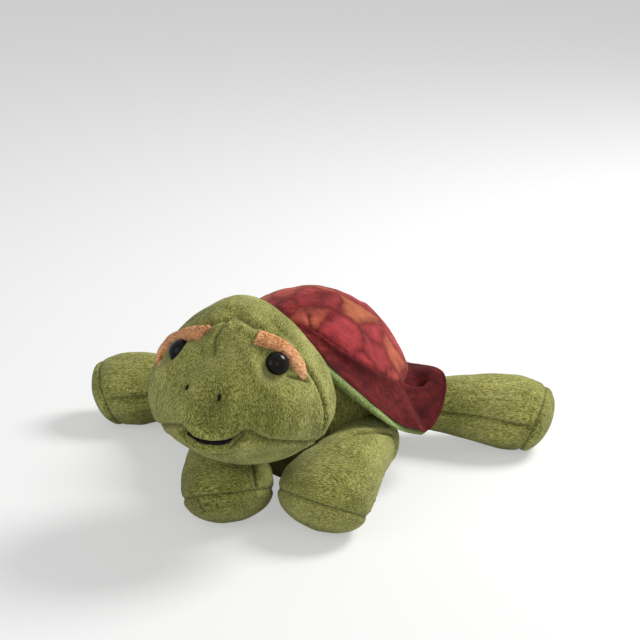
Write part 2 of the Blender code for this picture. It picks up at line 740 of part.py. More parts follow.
def make_legs(materials):
    for side_name, side in SIDES:
        hip = front_hip(side)
        make_leg("front_leg_" + side_name, hip, FRONT_HIP_RADIUS, front_stations(side, hip), FRONT_SOLE_BULGE,
                 (0.0, side * FRONT_SWEEP), materials)
        hip = rear_hip(side)
        forward = math.pi / 2 - abs(rear_azimuth(side)) - REAR_SWEEP_FORWARD
        make_leg("rear_leg_" + side_name, hip, REAR_HIP_RADIUS, rear_stations(side, hip), REAR_SOLE_BULGE,
                 (0.0, side * forward), materials)


def make_tail(materials):
    root = torso_point(math.pi, TAIL_HEIGHT + TAIL_HALF_HEIGHT) + outward(math.pi) * GAP
    root.z = TAIL_HEIGHT
    run = outward(math.pi)
    rows = [section_row(root, run, 0.0, 0.0)]
    for step in range(SOLE_ROWS + 1):
        share = step / SOLE_ROWS
        girth = math.sqrt(1 - share ** 2)
        rows.append(section_row(root + run * (TAIL_LENGTH * share), run, TAIL_HALF_WIDTH * girth,
                                TAIL_HALF_HEIGHT * girth))
    make_object("tail", form_mesh(rows, TRIM_SIDES * 2), materials["green_plush"])


SIDES = (("left", 1), ("right", -1))


def main():
    for item in list(bpy.data.objects):
        bpy.data.objects.remove(item)
    materials = {
        "green_plush": make_material("green_plush", (0.20, 0.24, 0.07), 0.95),
        "lining_plush": make_material("lining_plush", (0.26, 0.33, 0.10), 0.95),
        "red_plush": make_material("red_plush", (0.16, 0.02, 0.02), 0.90),
        "shell_print": make_material("shell_print", (0.30, 0.06, 0.05), 0.90),
        "brow_plush": make_material("brow_plush", (0.55, 0.24, 0.10), 0.95),
        "filling": make_material("filling", (0.80, 0.80, 0.78), 0.90),
        "eye_plastic": make_material("eye_plastic", (0.004, 0.004, 0.004), 0.08),
        "washer_plastic": make_material("washer_plastic", (0.70, 0.70, 0.68), 0.40),
        "thread": make_material("thread", (0.010, 0.008, 0.006), 0.80),
    }
    make_body(materials)
    make_shell(materials)
    make_brim(materials)
    make_neck(materials, make_pivot("neck_turn", NECK))
    make_head(materials, make_pivot("head_nod", NECK))
    make_legs(materials)
    make_tail(materials)


main()
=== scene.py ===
"""Looks of a plush turtle: sewn pile covers over their stuffing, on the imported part's bodies.

Metres, +Z up. The turtle faces -Y, its left side is +X and the floor is at zero. An azimuth is
counted from the front, -Y, towards +X, and a lift is counted up from level.
"""

import math

import bmesh
import bpy
import numpy as np
from mathutils import Matrix, Vector, noise
from mathutils.bvhtree import BVHTree


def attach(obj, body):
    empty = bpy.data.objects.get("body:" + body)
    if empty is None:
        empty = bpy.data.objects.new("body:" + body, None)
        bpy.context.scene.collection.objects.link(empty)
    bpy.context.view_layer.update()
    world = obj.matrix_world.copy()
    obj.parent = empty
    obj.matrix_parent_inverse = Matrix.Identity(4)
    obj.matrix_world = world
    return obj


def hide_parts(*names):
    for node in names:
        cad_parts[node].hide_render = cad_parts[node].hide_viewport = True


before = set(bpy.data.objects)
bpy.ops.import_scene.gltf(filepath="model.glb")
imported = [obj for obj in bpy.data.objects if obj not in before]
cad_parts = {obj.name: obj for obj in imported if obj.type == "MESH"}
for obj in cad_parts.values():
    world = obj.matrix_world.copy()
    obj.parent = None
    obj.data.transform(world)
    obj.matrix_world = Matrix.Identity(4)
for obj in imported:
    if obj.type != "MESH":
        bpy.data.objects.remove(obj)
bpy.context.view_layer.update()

UP = Vector((0, 0, 1))
SIDES = (("left", 1), ("right", -1))

# Stuffing: how far a form is drawn in before it is blown up, and how hard and how long it is blown
STUFFING_ROOM = 0.0006
HEAD_STUFFING_ROOM = 0.0008
STUFFING_PRESSURE = 4.0
STUFFING_FRAMES = 20

# Gaps that keep neighbours apart: at balls and laid-on pieces, at sewn seams, and half of a sole's seam
NARROW_GAP = 0.0002
SEAM_GAP = 0.0003
SOLE_GAP = 0.0001

# How many points are compared with a line at a time
BATCH = 4000

# Sizes of the covers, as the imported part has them
FABRIC = 0.0020
FLOOR_PRESS = 0.0005
TORSO_HALF = Vector((0.060, 0.068, 0.062))
TORSO_CENTRE = Vector((0, 0.012, 0.045))
SHELL_HALF = Vector((0.062, 0.070, 0.0605))
SHELL_CENTRE = Vector((0, 0.012, 0.0525))
SHELL_DRAW = 0.07
PAD_DEPTH = 0.007
HEM_SPREAD = 0.0030
HEM_DROP = 0.0028
RIM_SIDE_HEIGHT = 0.055
RIM_FRONT_RISE = 0.047
RIM_REAR_DROP = 0.010
RIM_FRONT_POWER = 1.6
BRIM_THICKNESS = 0.0024
BRIM_TUCK = 0.0035
BRIM_FRONT_REACH = 0.008
BRIM_SIDE_REACH = 0.028
BRIM_REAR_REACH = 0.007
BRIM_REAR_POWER = 12
BRIM_CORNER_DROP = 0.027
BRIM_WING_RISE = 0.004
BRIM_CORNER_AZIMUTH = math.radians(66)
BRIM_WING_AZIMUTH = math.radians(100)
BRIM_TAIL_AZIMUTH = math.radians(125)
LINING_THICKNESS = 0.0030
LINING_ROLL = 0.0085
LINING_EASE = 0.0013
LINING_SHOW = 0.0095
NECK_RADIUS = 0.024
NECK = Vector((0, -0.0549, 0.062))

# Head
HEAD_CENTRE = Vector((-0.017028, -0.100206, 0.0905))
HEAD_TURN = math.radians(-12)
HEAD_SPIN = Matrix.Rotation(HEAD_TURN, 3, "Z")
HEAD_HALF_WIDTH = 0.0536
HEAD_FRONT = 0.0445
HEAD_BACK = 0.0420
HEAD_CROWN = 0.0540
HEAD_JAW = 0.0450
CROWN_TAPER = 0.34
CROWN_POWER = 1.5
CHEEK_BULGE = 0.06
CHEEK_LEVEL = -0.35
MUZZLE_LIFT = math.radians(-6)
MUZZLE_BULGE = 0.18
MUZZLE_SPREAD = 0.18
EYE_RADIUS = 0.0066
EYE_HEIGHT = 0.0050
EYE_SINK = 0.0010
EYE_AZIMUTH = 47
EYE_LIFT = 30
FACE_LEAN = 5
BROW_ROUTES = {
    1: ((38, 45.5), (44, 45), (52, 43), (61, 39.5), (68, 34), (69.5, 28), (69, 23.5), (69.5, 18)),
    -1: ((-20, 45), (-27, 44), (-38, 42.5), (-51, 38.5), (-63, 31), (-65, 26), (-62, 20), (-55, 15.5))}
BROW_WIDTHS = (0.0043, 0.0044, 0.0043, 0.0040, 0.0037, 0.0036, 0.0032, 0.0010)
BROW_FULL_WIDTH = 0.0034
BROW_SLANT = {1: 0.3, -1: 0.8}
BROW_THICKNESS = 0.0038
NOSTRILS = {1: (10, 13, 1.9), -1: (-14, 15, 1.3)}

# Legs
FRONT_HIP = Vector((0.04608, -0.02736, 0.028))
FRONT_HIP_RADIUS = 0.020
FRONT_LEG_LENGTH = 0.071
FRONT_SHANK = 0.018
FRONT_HALF_WIDTH = 0.0270
FRONT_HALF_HEIGHT = 0.0240
FRONT_SOLE_BULGE = 0.0170
FRONT_SOLE_TILT = math.radians(61)
FRONT_SOLE_TOE_IN = math.radians(26)
FRONT_TOE_IN = {1: math.radians(11), -1: math.radians(14)}
FRONT_SWELL = 0.8
FRONT_DRAW = 0.03
FRONT_SWEEP = math.radians(20)
FRONT_INNER_SPREAD = {1: 0.0062, -1: 0.0020}
FRONT_TOP_DIP = {1: 0.0, -1: 0.0016}
REAR_HIP = Vector((0.05116, 0.04154, 0.027))
REAR_HIP_RADIUS = 0.017
REAR_LEG_LENGTH = 0.092
REAR_SHANK = 0.022
REAR_LEG_RADIUS = 0.0255
REAR_SOLE_BULGE = 0.0125
REAR_SOLE_TILT = math.radians(20)
REAR_SWELL = 0.75
REAR_DRAW = 0.10
REAR_FORWARD = {1: math.radians(-3), -1: math.radians(7)}
REAR_SWEEP_FORWARD = math.radians(20)
TAIL_LENGTH = 0.022
TAIL_HALF_WIDTH = 0.009
TAIL_HALF_HEIGHT = 0.006
TAIL_HEIGHT = 0.020
TAIL_ROOT = 0.008


# Directions and blending
def ease(share):
    share = np.clip(share, 0, 1)
    return share * share * (3 - 2 * share)


def mix(start, end, share):
    return start + (end - start) * share


def outward(azimuth):
    return Vector((math.sin(azimuth), -math.cos(azimuth), 0))


def direction(azimuth, lift):
    return outward(azimuth) * math.cos(lift) + UP * math.sin(lift)


def degrees_way(azimuth, lift):
    return direction(math.radians(azimuth), math.radians(lift))


def mirrored(place, side):
    return Vector((side * place.x, place.y, place.z))


# Meshes
def new_item(name, skin):
    """An object from a bmesh in place, merged and with its faces turned outwards."""
    bmesh.ops.remove_doubles(skin, verts=skin.verts, dist=1e-6)
    bmesh.ops.recalc_face_normals(skin, faces=skin.faces)
    mesh = bpy.data.meshes.new(name)
    skin.to_mesh(mesh)
    skin.free()
    mesh.shade_smooth()
    item = bpy.data.objects.new(name, mesh)
    bpy.context.scene.collection.objects.link(item)
    return item


def form(rows, sides):
    """A closed skin from pole to pole: each row is a function of the angle round the form."""
    skin = bmesh.new()
    last = len(rows) - 1
    bmesh.ops.create_uvsphere(skin, u_segments=sides, v_segments=last, radius=1)
    for vertex in skin.verts:
        row = round(math.acos(max(-1.0, min(1.0, vertex.co.z))) / math.pi * last)
        turn = math.atan2(vertex.co.y, vertex.co.x) + math.pi / 2
        vertex.co = rows[row](round(turn / math.tau * sides) % sides / sides * math.tau)
    return skin


def band(place, steps, section):
    """A closed ring: place(azimuth, turn) puts each point, turn going round the section."""
    ring = bmesh.new()
    circle = bmesh.ops.create_circle(ring, segments=section, radius=0.5)["verts"]
    upright = Matrix.Rotation(math.pi / 2, 3, "X") @ Matrix.Rotation(-math.pi / 2, 3, "Z")
    bmesh.ops.rotate(ring, verts=circle, matrix=upright)
    bmesh.ops.translate(ring, verts=circle, vec=(1, 0, 0))
    bmesh.ops.spin(ring, geom=ring.verts[:] + ring.edges[:], axis=UP, cent=(0, 0, 0),
                   angle=math.tau, steps=steps, use_merge=True)
    for vertex in ring.verts:
        step = round(math.atan2(vertex.co.y, vertex.co.x) / math.tau * steps) % steps
        turn = math.atan2(vertex.co.z, math.hypot(vertex.co.x, vertex.co.y) - 1)
        turn = round(turn / math.tau * section) % section
        vertex.co = place(step / steps * math.tau, turn / section * math.tau)
    return ring


def bake(item):
    """The item's own mesh takes in what its modifiers make."""
    graph = bpy.context.evaluated_depsgraph_get()
    mesh = bpy.data.meshes.new_from_object(item.evaluated_get(graph))
    item.modifiers.clear()
    item.data = mesh
    mesh.name = item.name
    mesh.shade_smooth()


def table_of(rows, label):
    """Three numbers of each vertex, as a table."""
    flat = np.empty(len(rows) * 3)
    rows.foreach_get(label, flat)
    return flat.reshape(-1, 3)


def points_of(item):
    return table_of(item.data.vertices, "co")


def put(item, points):
    item.data.vertices.foreach_set("co", points.ravel())
    item.data.update()


def subdivide(item, levels):
    rounding = item.modifiers.new("rounding", "SUBSURF")
    rounding.levels = rounding.render_levels = levels
    bake(item)


def stuff(item, voxel, cap, spare=0.02):
    """An even mesh, blown up by its stuffing as cloth, where no point moves further than cap."""
    remesh = item.modifiers.new("even", "REMESH")
    remesh.mode = "VOXEL"
    remesh.voxel_size = voxel
    bake(item)
    rest = points_of(item)
    cloth = item.modifiers.new("stuffing", "CLOTH")
    cloth.settings.use_pressure = True
    cloth.settings.uniform_pressure_force = STUFFING_PRESSURE
    cloth.settings.shrink_min = -spare
    cloth.settings.effector_weights.gravity = 0
    scene = bpy.context.scene
    for number in range(STUFFING_FRAMES):
        scene.frame_set(number + 1)
    graph = bpy.context.evaluated_depsgraph_get()
    shift = points_of(item.evaluated_get(graph)) - rest
    item.modifiers.clear()
    scene.frame_set(1)
    length = np.linalg.norm(shift, axis=1, keepdims=True)
    put(item, rest + shift * np.minimum(1, cap / np.maximum(length, 1e-9)))
    subdivide(item, 2)


def lumps(points, size, seed):
    """Soft unevenness between -1 and 1, of about this size."""
    scaled = points / size + seed
    return np.array([noise.noise(Vector(point)) for point in scaled])


def fade_at_ends(run, length, fade):
    return ease(run / fade) * ease((length - run) / fade) if fade else 1.0


def nearness(points, normals, line, reach):
    """How far each point lies from a line across the surface, and how far along the line."""
    far = np.full(len(points), reach * 9)
    run = np.zeros(len(points))
    boxed = (points > line.min(0) - reach) & (points < line.max(0) + reach)
    near = np.flatnonzero(np.all(boxed, axis=1))
    lengths = np.concatenate([[0], np.cumsum(np.linalg.norm(np.diff(line, axis=0), axis=1))])
    for start in range(0, len(near), BATCH):
        some = near[start:start + BATCH]
        apart = points[some][:, None, :] - line[None, :, :]
        closest = (apart ** 2).sum(2).argmin(1)
        gap = apart[np.arange(len(some)), closest]
        gap = gap - (gap * normals[some]).sum(1)[:, None] * normals[some]
        far[some] = np.linalg.norm(gap, axis=1)
        run[some] = lengths[closest]
    return far, run, lengths[-1]


class Sculpt:
    """Collects seams, folds and swellings for one cover, moves its skin along its normals and stores
    painted groove shade.
    """

    def __init__(self, item):
        self.item = item
        self.points = points_of(item)
        self.normals = table_of(item.data.vertex_normals, "vector")
        self.shift = np.zeros(len(self.points))
        self.dark = np.zeros(len(self.points))

    def fold(self, line, width, depth, fade=0.0, shoulder=0.35, pucker=0.0, pitch=0.004, shade=0.8):
        """A groove along a line, with soft shoulders and, on a seam, puckers square to it; shade sets its
        painted shade.
        """
        far, run, length = nearness(self.points, self.normals, line, width * 6)
        keep = fade_at_ends(run, length, fade)
        dip = np.exp(-(far / width) ** 2)
        rise = np.exp(-((far - 2.4 * width) / (1.5 * width)) ** 2)
        waves = np.cos(run / pitch * math.tau) * np.exp(-(far / (3.2 * width)) ** 2) * (1 - dip)
        self.shift += keep * (-depth * dip + shoulder * depth * rise + pucker * waves)
        # Painted shade along the groove: shadow in creases and folds, and at seams also the darker parted
        # pile
        self.dark = np.maximum(self.dark, shade * keep * np.exp(-(far / (0.75 * width)) ** 2))

    def ridge(self, line, width, height, fade=0.0):
        far, run, length = nearness(self.points, self.normals, line, width * 4)
        self.shift += fade_at_ends(run, length, fade) * height * np.exp(-(far / width) ** 2)

    def swell(self, centre, radius, height):
        """A soft bump, or a hollow where height is negative, round a point."""
        far = np.linalg.norm(self.points - np.array(centre), axis=1)
        self.shift += height * np.exp(-(far / radius) ** 2)

    def uneven(self, size, height, seed=0.0):
        self.shift += height * lumps(self.points, size, seed)

    def done(self):
        put(self.item, self.points + self.normals * self.shift[:, None])
        # The 'seam' attribute carries this painted groove shade, with the parted pile of seams, to the
        # finishes
        marks = self.item.data.attributes
        groove_shade = marks.get("seam") or marks.new("seam", "FLOAT", "POINT")
        groove_shade.data.foreach_set("value", self.dark.astype(np.float32))


def roughen(item, *bumps):
    """Soft unevenness on a piece without seams: a size, a height and a seed for each."""
    work = Sculpt(item)
    for size, height, seed in bumps:
        work.uneven(size, height, seed)
    work.done()


def rounded_line(knots, spacing=0.0006, closed=False):
    """A smooth line of close points through the knots."""
    knots = np.array(knots, float)
    count = len(knots)
    if closed:
        padded = np.concatenate([knots[-1:], knots, knots[:2]])
        spans = count
    else:
        padded = np.concatenate([knots[:1] * 2 - knots[1:2], knots, knots[-1:] * 2 - knots[-2:-1]])
        spans = count - 1
    made = []
    for span in range(spans):
        a, b, c, d = padded[span:span + 4]
        steps = max(2, int(np.linalg.norm(c - b) / spacing))
        t = np.arange(steps)[:, None] / steps
        made.append(0.5 * (2 * b + (c - a) * t + (2 * a - 5 * b + 4 * c - d) * t ** 2
                           + (3 * b - a - 3 * c + d) * t ** 3))
    made.append(padded[spans + 1:spans + 2])
    return np.concatenate(made)


def press_to_floor(item, floor=0.0):
    points = points_of(item)
    points[:, 2] = np.maximum(points[:, 2], floor)
    put(item, points)


def hollow(item, centre, radius, inside):
    """Draws in what lies in a ball, towards a point inside the piece, so that it lines the ball."""
    points = points_of(item)
    apart = points - np.array(centre)
    within = np.linalg.norm(apart, axis=1) < radius
    way = np.array(inside) - points
    way /= np.linalg.norm(way, axis=1, keepdims=True)
    along = (apart * way).sum(1)
    root = np.sqrt(np.maximum(0, along ** 2 - (apart ** 2).sum(1) + radius ** 2))
    points[within] += way[within] * (root - along)[within][:, None]
    put(item, points)


# Finishes
class Wire:
    """A socket's output, on which plain sums add the Math nodes."""

    def __init__(self, finish, socket):
        self.finish = finish
        self.socket = socket

    def combine(self, operation, first, second):
        return self.finish.node("ShaderNodeMath", {"operation": operation}, {0: first, 1: second})

    def __add__(self, other):
        return self.combine("ADD", self, other)

    def __sub__(self, other):
        return self.combine("SUBTRACT", self, other)

    def __rsub__(self, other):
        return self.combine("SUBTRACT", other, self)

    def __mul__(self, other):
        return self.combine("MULTIPLY", self, other)

    __radd__ = __add__
    __rmul__ = __mul__


class Finish:
    """A material whose nodes are added one at a time in front of its shader."""

    def __init__(self, name, **constants):
        self.material = bpy.data.materials.new(name)
        self.material.use_nodes = True
        self.tree = self.material.node_tree
        self.shader = self.tree.nodes["Principled BSDF"]
        for label, value in constants.items():
            self.shader.inputs[label.replace("_", " ").title().replace("Ior", "IOR")].default_value = value

    def node(self, kind, settings=None, sockets=None, output=0):
        """One node: its settings first, then the values or wires of its sockets."""
        made = self.tree.nodes.new(kind)
        for label, value in (settings or {}).items():
            if label == "stops":
                ramp = made.color_ramp
                for place, _ in value[1:-1]:
                    ramp.elements.new(place)
                for element, (place, colour) in zip(ramp.elements, value):
                    element.position = place
                    element.color = (*colour, 1.0)
            else:
                setattr(made, label, value)
        for label, value in (sockets or {}).items():
            if isinstance(value, Wire):
                self.tree.links.new(value.socket, made.inputs[label])
            else:
                made.inputs[label].default_value = value
        return Wire(self, made.outputs[output])

    def feed(self, label, wire):
        self.tree.links.new(wire.socket, self.shader.inputs[label])

    def places(self):
        return self.node("ShaderNodeTexCoord", output=3)

    def drift(self, places, size, reach):
        """The same places, carried aside by soft noise, so that a pattern swirls."""
        cloud = self.node("ShaderNodeTexNoise", {}, {"Vector": places, "Scale": 1 / size, "Detail": 1.0}, 1)
        aside = self.node("ShaderNodeVectorMath", {"operation": "SUBTRACT"}, {0: cloud, 1: (0.5, 0.5, 0.5)})
        aside = self.node("ShaderNodeVectorMath", {"operation": "SCALE"}, {0: aside, 3: reach})
        return self.node("ShaderNodeVectorMath", {"operation": "ADD"}, {0: places, 1: aside})

    def cloud(self, places, size, detail=2.0, roughness=0.5):
        return self.node("ShaderNodeTexNoise", {},
                         {"Vector": places, "Scale": 1 / size, "Detail": detail, "Roughness": roughness})

    def ramp(self, factor, stops):
        return self.node("ShaderNodeValToRGB", {"stops": stops}, {0: factor})

    def tint(self, factor, first, second, way="MIX"):
        first = first if isinstance(first, Wire) else (*first, 1.0)
        second = second if isinstance(second, Wire) else (*second, 1.0)
        return self.node("ShaderNodeMix", {"data_type": "RGBA", "blend_type": way},
                         {0: factor, 6: first, 7: second}, 2)

    # The 'seam' attribute: painted shade along grooves and creases, and the darker parted pile at seams
    def seam(self):
        return self.node("ShaderNodeAttribute", {"attribute_name": "seam"}, {}, 2)

    def bump(self, height, distance):
        self.feed("Normal", self.node("ShaderNodeBump", {}, {"Height": height, "Distance": distance}))


def pile_finish(name, deep, dark, light, tip, nap=(1, 1, 0.3), streak=0.0007, sheen_tint=(1, 1, 0.65, 1)):
    """Short brushed pile: swirled streaks with light tips, broad brushed patches, painted shade in seams
    and creases.
    """
    finish = Finish(name, roughness=0.95, sheen_weight=0.25, sheen_roughness=0.45, sheen_tint=sheen_tint,
                    specular_ior_level=0.15)
    places = finish.places()
    swirled = finish.drift(finish.drift(places, 0.030, 0.016), 0.007, 0.0016)
    lying = finish.node("ShaderNodeMapping", {}, {0: swirled, 3: nap})
    pile = finish.cloud(lying, streak, 2.0, 0.6)
    fibres = finish.cloud(lying, streak / 3, 1.0)
    brushed = finish.cloud(lying, 0.007, 2.0)
    broad = finish.cloud(places, 0.035, 2.0)
    tone = pile * 0.85 + fibres * 0.35 + brushed * 0.20 + broad * 0.30 - 0.335
    colour = finish.ramp(tone, [(0.28, deep), (0.43, dark), (0.55, light), (0.70, tip)])
    # Painted shade in seams and creases, at seams also the darker parted pile, drawn towards the deep
    # colour
    seam = finish.seam()
    colour = finish.tint(seam * 0.75, colour, deep)
    finish.feed("Base Color", colour)
    finish.bump((pile + fibres * 0.35 + brushed * 0.9) * (1.15 - seam), 0.0011)
    return finish.material


def velour_finish(name, deep, dark, light, tip, sheen_tint):
    """Very short pile: soft broad variation, fine grain, light where it is crushed."""
    finish = Finish(name, roughness=0.85, sheen_weight=0.15, sheen_roughness=0.3, sheen_tint=sheen_tint,
                    specular_ior_level=0.1)
    places = finish.places()
    swirled = finish.drift(places, 0.020, 0.010)
    grain = finish.cloud(swirled, 0.0007, 2.0, 0.6)
    brushed = finish.cloud(swirled, 0.006, 3.0, 0.55)
    broad = finish.cloud(places, 0.030, 2.0)
    tone = grain * 0.25 + brushed * 0.55 + broad * 0.35 - 0.08
    colour = finish.ramp(tone, [(0.25, deep), (0.45, dark), (0.62, light), (0.80, tip)])
    # Painted shade in seams and creases, at seams also the darker parted pile
    colour = finish.tint(finish.seam() * 0.7, colour, deep)
    finish.feed("Base Color", colour)
    finish.bump(grain * 0.6 + brushed * 1.2, 0.0007)
    return finish.material


def print_finish(name):
    """Velour printed all over with soft rounded scales, each in its own warm colour."""
    finish = Finish(name, roughness=0.85, sheen_weight=0.18, sheen_roughness=0.4,
                    sheen_tint=(1.0, 0.55, 0.42, 1), specular_ior_level=0.1)
    places = finish.places()
    soft = finish.drift(finish.drift(places, 0.018, 0.008), 0.004, 0.0012)
    cells = {"Vector": soft, "Scale": 1 / 0.023, "Randomness": 0.55}
    shade = finish.node("ShaderNodeTexVoronoi", {"feature": "F1"}, cells, 1)
    pick = finish.node("ShaderNodeSeparateColor", {}, {0: shade})
    edge = finish.node("ShaderNodeTexVoronoi", {"feature": "DISTANCE_TO_EDGE"}, cells)
    inner = finish.node("ShaderNodeTexVoronoi", {"feature": "SMOOTH_F1"}, cells)
    grain = finish.cloud(soft, 0.0008, 2.0, 0.6)
    brushed = finish.cloud(soft, 0.006, 3.0)
    scale_colour = finish.ramp(pick, [(0.0, (0.215, 0.020, 0.028)), (0.30, (0.330, 0.038, 0.044)),
                                      (0.52, (0.400, 0.085, 0.056)), (0.72, (0.350, 0.125, 0.050)),
                                      (0.88, (0.260, 0.028, 0.034))])
    rim = finish.ramp(edge + brushed * 0.12 - 0.06,
                      [(0.0, (0.40, 0.26, 0.28)), (0.10, (0.75, 0.66, 0.66)), (0.22, (1.0, 1.0, 1.0))])
    colour = finish.tint(1.0, scale_colour, rim, "MULTIPLY")
    colour = finish.tint(inner * 0.25, colour, (0.150, 0.018, 0.020))
    tone = finish.ramp(grain * 0.45 + brushed * 0.55,
                       [(0.25, (0.60, 0.52, 0.52)), (0.50, (0.95, 0.93, 0.92)), (0.75, (1.25, 1.18, 1.12))])
    colour = finish.tint(1.0, colour, tone, "MULTIPLY")
    # Painted shade in the dome's folds, darts and hem seam, at seams also the darker parted pile
    colour = finish.tint(finish.seam() * 0.7, colour, (0.040, 0.006, 0.008))
    finish.feed("Base Color", colour)
    finish.bump(grain * 0.6 + brushed * 1.1 + edge * 0.8, 0.0008)
    return finish.material


def button_finish(name):
    """Glossy black plastic with faint scuffs."""
    finish = Finish(name, roughness=0.05, specular_ior_level=0.10)
    scuffs = finish.cloud(finish.places(), 0.0012, 3.0, 0.7)
    black = finish.ramp(scuffs, [(0.3, (0.0030, 0.0028, 0.0026)), (0.7, (0.0090, 0.0075, 0.0065))])
    finish.feed("Base Color", black)
    rough = finish.node("ShaderNodeMapRange", {}, {0: scuffs, 1: 0.4, 2: 0.8, 3: 0.05, 4: 0.14})
    finish.feed("Roughness", rough)
    return finish.material


def plastic_finish(name):
    """White moulded plastic, hidden behind the eyes."""
    finish = Finish(name, roughness=0.4)
    grain = finish.cloud(finish.places(), 0.002, 2.0)
    finish.feed("Base Color", finish.ramp(grain, [(0.3, (0.62, 0.62, 0.60)), (0.7, (0.72, 0.72, 0.70))]))
    return finish.material


def thread_finish(name):
    """Twisted dark embroidery thread."""
    finish = Finish(name, roughness=0.8, specular_ior_level=0.10)
    ply = finish.node("ShaderNodeTexWave", {"wave_type": "BANDS", "bands_direction": "DIAGONAL"},
                      {"Vector": finish.places(), "Scale": 900.0, "Distortion": 1.0})
    black = finish.ramp(ply, [(0.2, (0.003, 0.0028, 0.0024)), (0.8, (0.014, 0.011, 0.008))])
    finish.feed("Base Color", black)
    finish.bump(ply, 0.0002)
    return finish.material


GREEN = dict(deep=(0.045, 0.046, 0.008), dark=(0.145, 0.148, 0.027), light=(0.295, 0.294, 0.070),
             tip=(0.500, 0.485, 0.170))
green_pile = pile_finish("green_pile", **GREEN)
green_leg_pile = pile_finish("green_leg_pile", **GREEN, nap=(0.3, 1, 1))
lining_pile = pile_finish("lining_pile", (0.050, 0.075, 0.016), (0.160, 0.225, 0.055),
                          (0.270, 0.345, 0.105), (0.400, 0.470, 0.190))
brow_pile = pile_finish("brow_pile", (0.180, 0.050, 0.014), (0.470, 0.180, 0.065),
                        (0.720, 0.340, 0.150), (0.880, 0.520, 0.300), nap=(0.35, 1, 1), streak=0.0010,
                        sheen_tint=(1, 0.8, 0.6, 1))
red_velour = velour_finish("red_velour", (0.022, 0.0015, 0.002), (0.062, 0.005, 0.006),
                           (0.122, 0.012, 0.011), (0.220, 0.036, 0.030), (1.0, 0.40, 0.32, 1))
shell_velour = print_finish("shell_velour")
eye_button = button_finish("eye_button")
washer_plastic = plastic_finish("washer_plastic")
dark_thread = thread_finish("dark_thread")


def dress(item, finish, body, slot, *nodes, fill=None):
    """Gives a finished piece its material, the body it rides on and the nodes it stands for."""
    item.data.materials.clear()
    item.data.materials.append(finish)
    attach(item, body)
    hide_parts(*nodes)


# Torso and shell surfaces
def rim_height(azimuth):
    ahead = math.cos(azimuth)
    if ahead > 0:
        return RIM_SIDE_HEIGHT + RIM_FRONT_RISE * ahead ** RIM_FRONT_POWER
    return RIM_SIDE_HEIGHT - RIM_REAR_DROP * ahead ** 2


def ball_point(centre, half, azimuth, lift, inset=0.0):
    """A point of an egg-shaped form, by how far round it lies and how far up from its middle."""
    way = direction(azimuth, lift)
    return Vector([c + (h - inset) * w for c, h, w in zip(centre, half, way)])


def lift_at(centre, half, height):
    return math.asin(max(-1.0, min(1.0, (height - centre.z) / half.z)))


def shell_point(azimuth, lift, inset=0.0):
    """A point of the dome, which is drawn in a little over the rear legs."""
    behind = (1 - math.cos(azimuth)) / 2
    drawn = 1 - SHELL_DRAW * behind * math.sin(2 * lift) ** 2
    point = ball_point(SHELL_CENTRE, SHELL_HALF, azimuth, lift, inset) - SHELL_CENTRE
    return SHELL_CENTRE + Vector((point.x * drawn, point.y * drawn, point.z))


def under_shell(azimuth, lift, inset):
    """The torso's surface, which lies deeper above the rim to leave room for the padded dome."""
    height = ball_point(TORSO_CENTRE, TORSO_HALF, azimuth, lift, inset).z
    sunk = PAD_DEPTH * float(ease((height - rim_height(azimuth)) / PAD_DEPTH + 0.75))
    return ball_point(TORSO_CENTRE, TORSO_HALF, azimuth, lift, inset + sunk)


def make_torso():
    """Belly, chest and flanks, closed over under the shell."""
    lifts = [math.pi * (step / 60 - 0.5) for step in range(61)]
    rows = [lambda angle, lift=lift: under_shell(angle, lift, STUFFING_ROOM) for lift in lifts]
    torso = new_item("torso", form(rows, 96))
    press_to_floor(torso, -FLOOR_PRESS)
    stuff(torso, 0.004, 0.0010)
    work = Sculpt(torso)
    # Side seams, with painted shade in their grooves
    for side in (1, -1):
        knots = [ball_point(TORSO_CENTRE, TORSO_HALF, side * math.radians(a), math.radians(l))
                 for a, l in ((30, -38), (24, -15), (22, 5), (26, 25), (34, 40))]
        work.fold(rounded_line(knots), 0.0018, 0.0016, fade=0.006, pucker=0.0002)
    work.uneven(0.012, 0.0004)
    work.done()
    hollow(torso, NECK, NECK_RADIUS + NARROW_GAP, TORSO_CENTRE)
    for side in (1, -1):
        for hip, radius in ((FRONT_HIP, FRONT_HIP_RADIUS), (REAR_HIP, REAR_HIP_RADIUS)):
            hollow(torso, mirrored(hip, side), radius + NARROW_GAP, TORSO_CENTRE)
    press_to_floor(torso)
    dress(torso, green_pile, "body", "green_plush", "body_cover", "body_filling", fill=0.8)


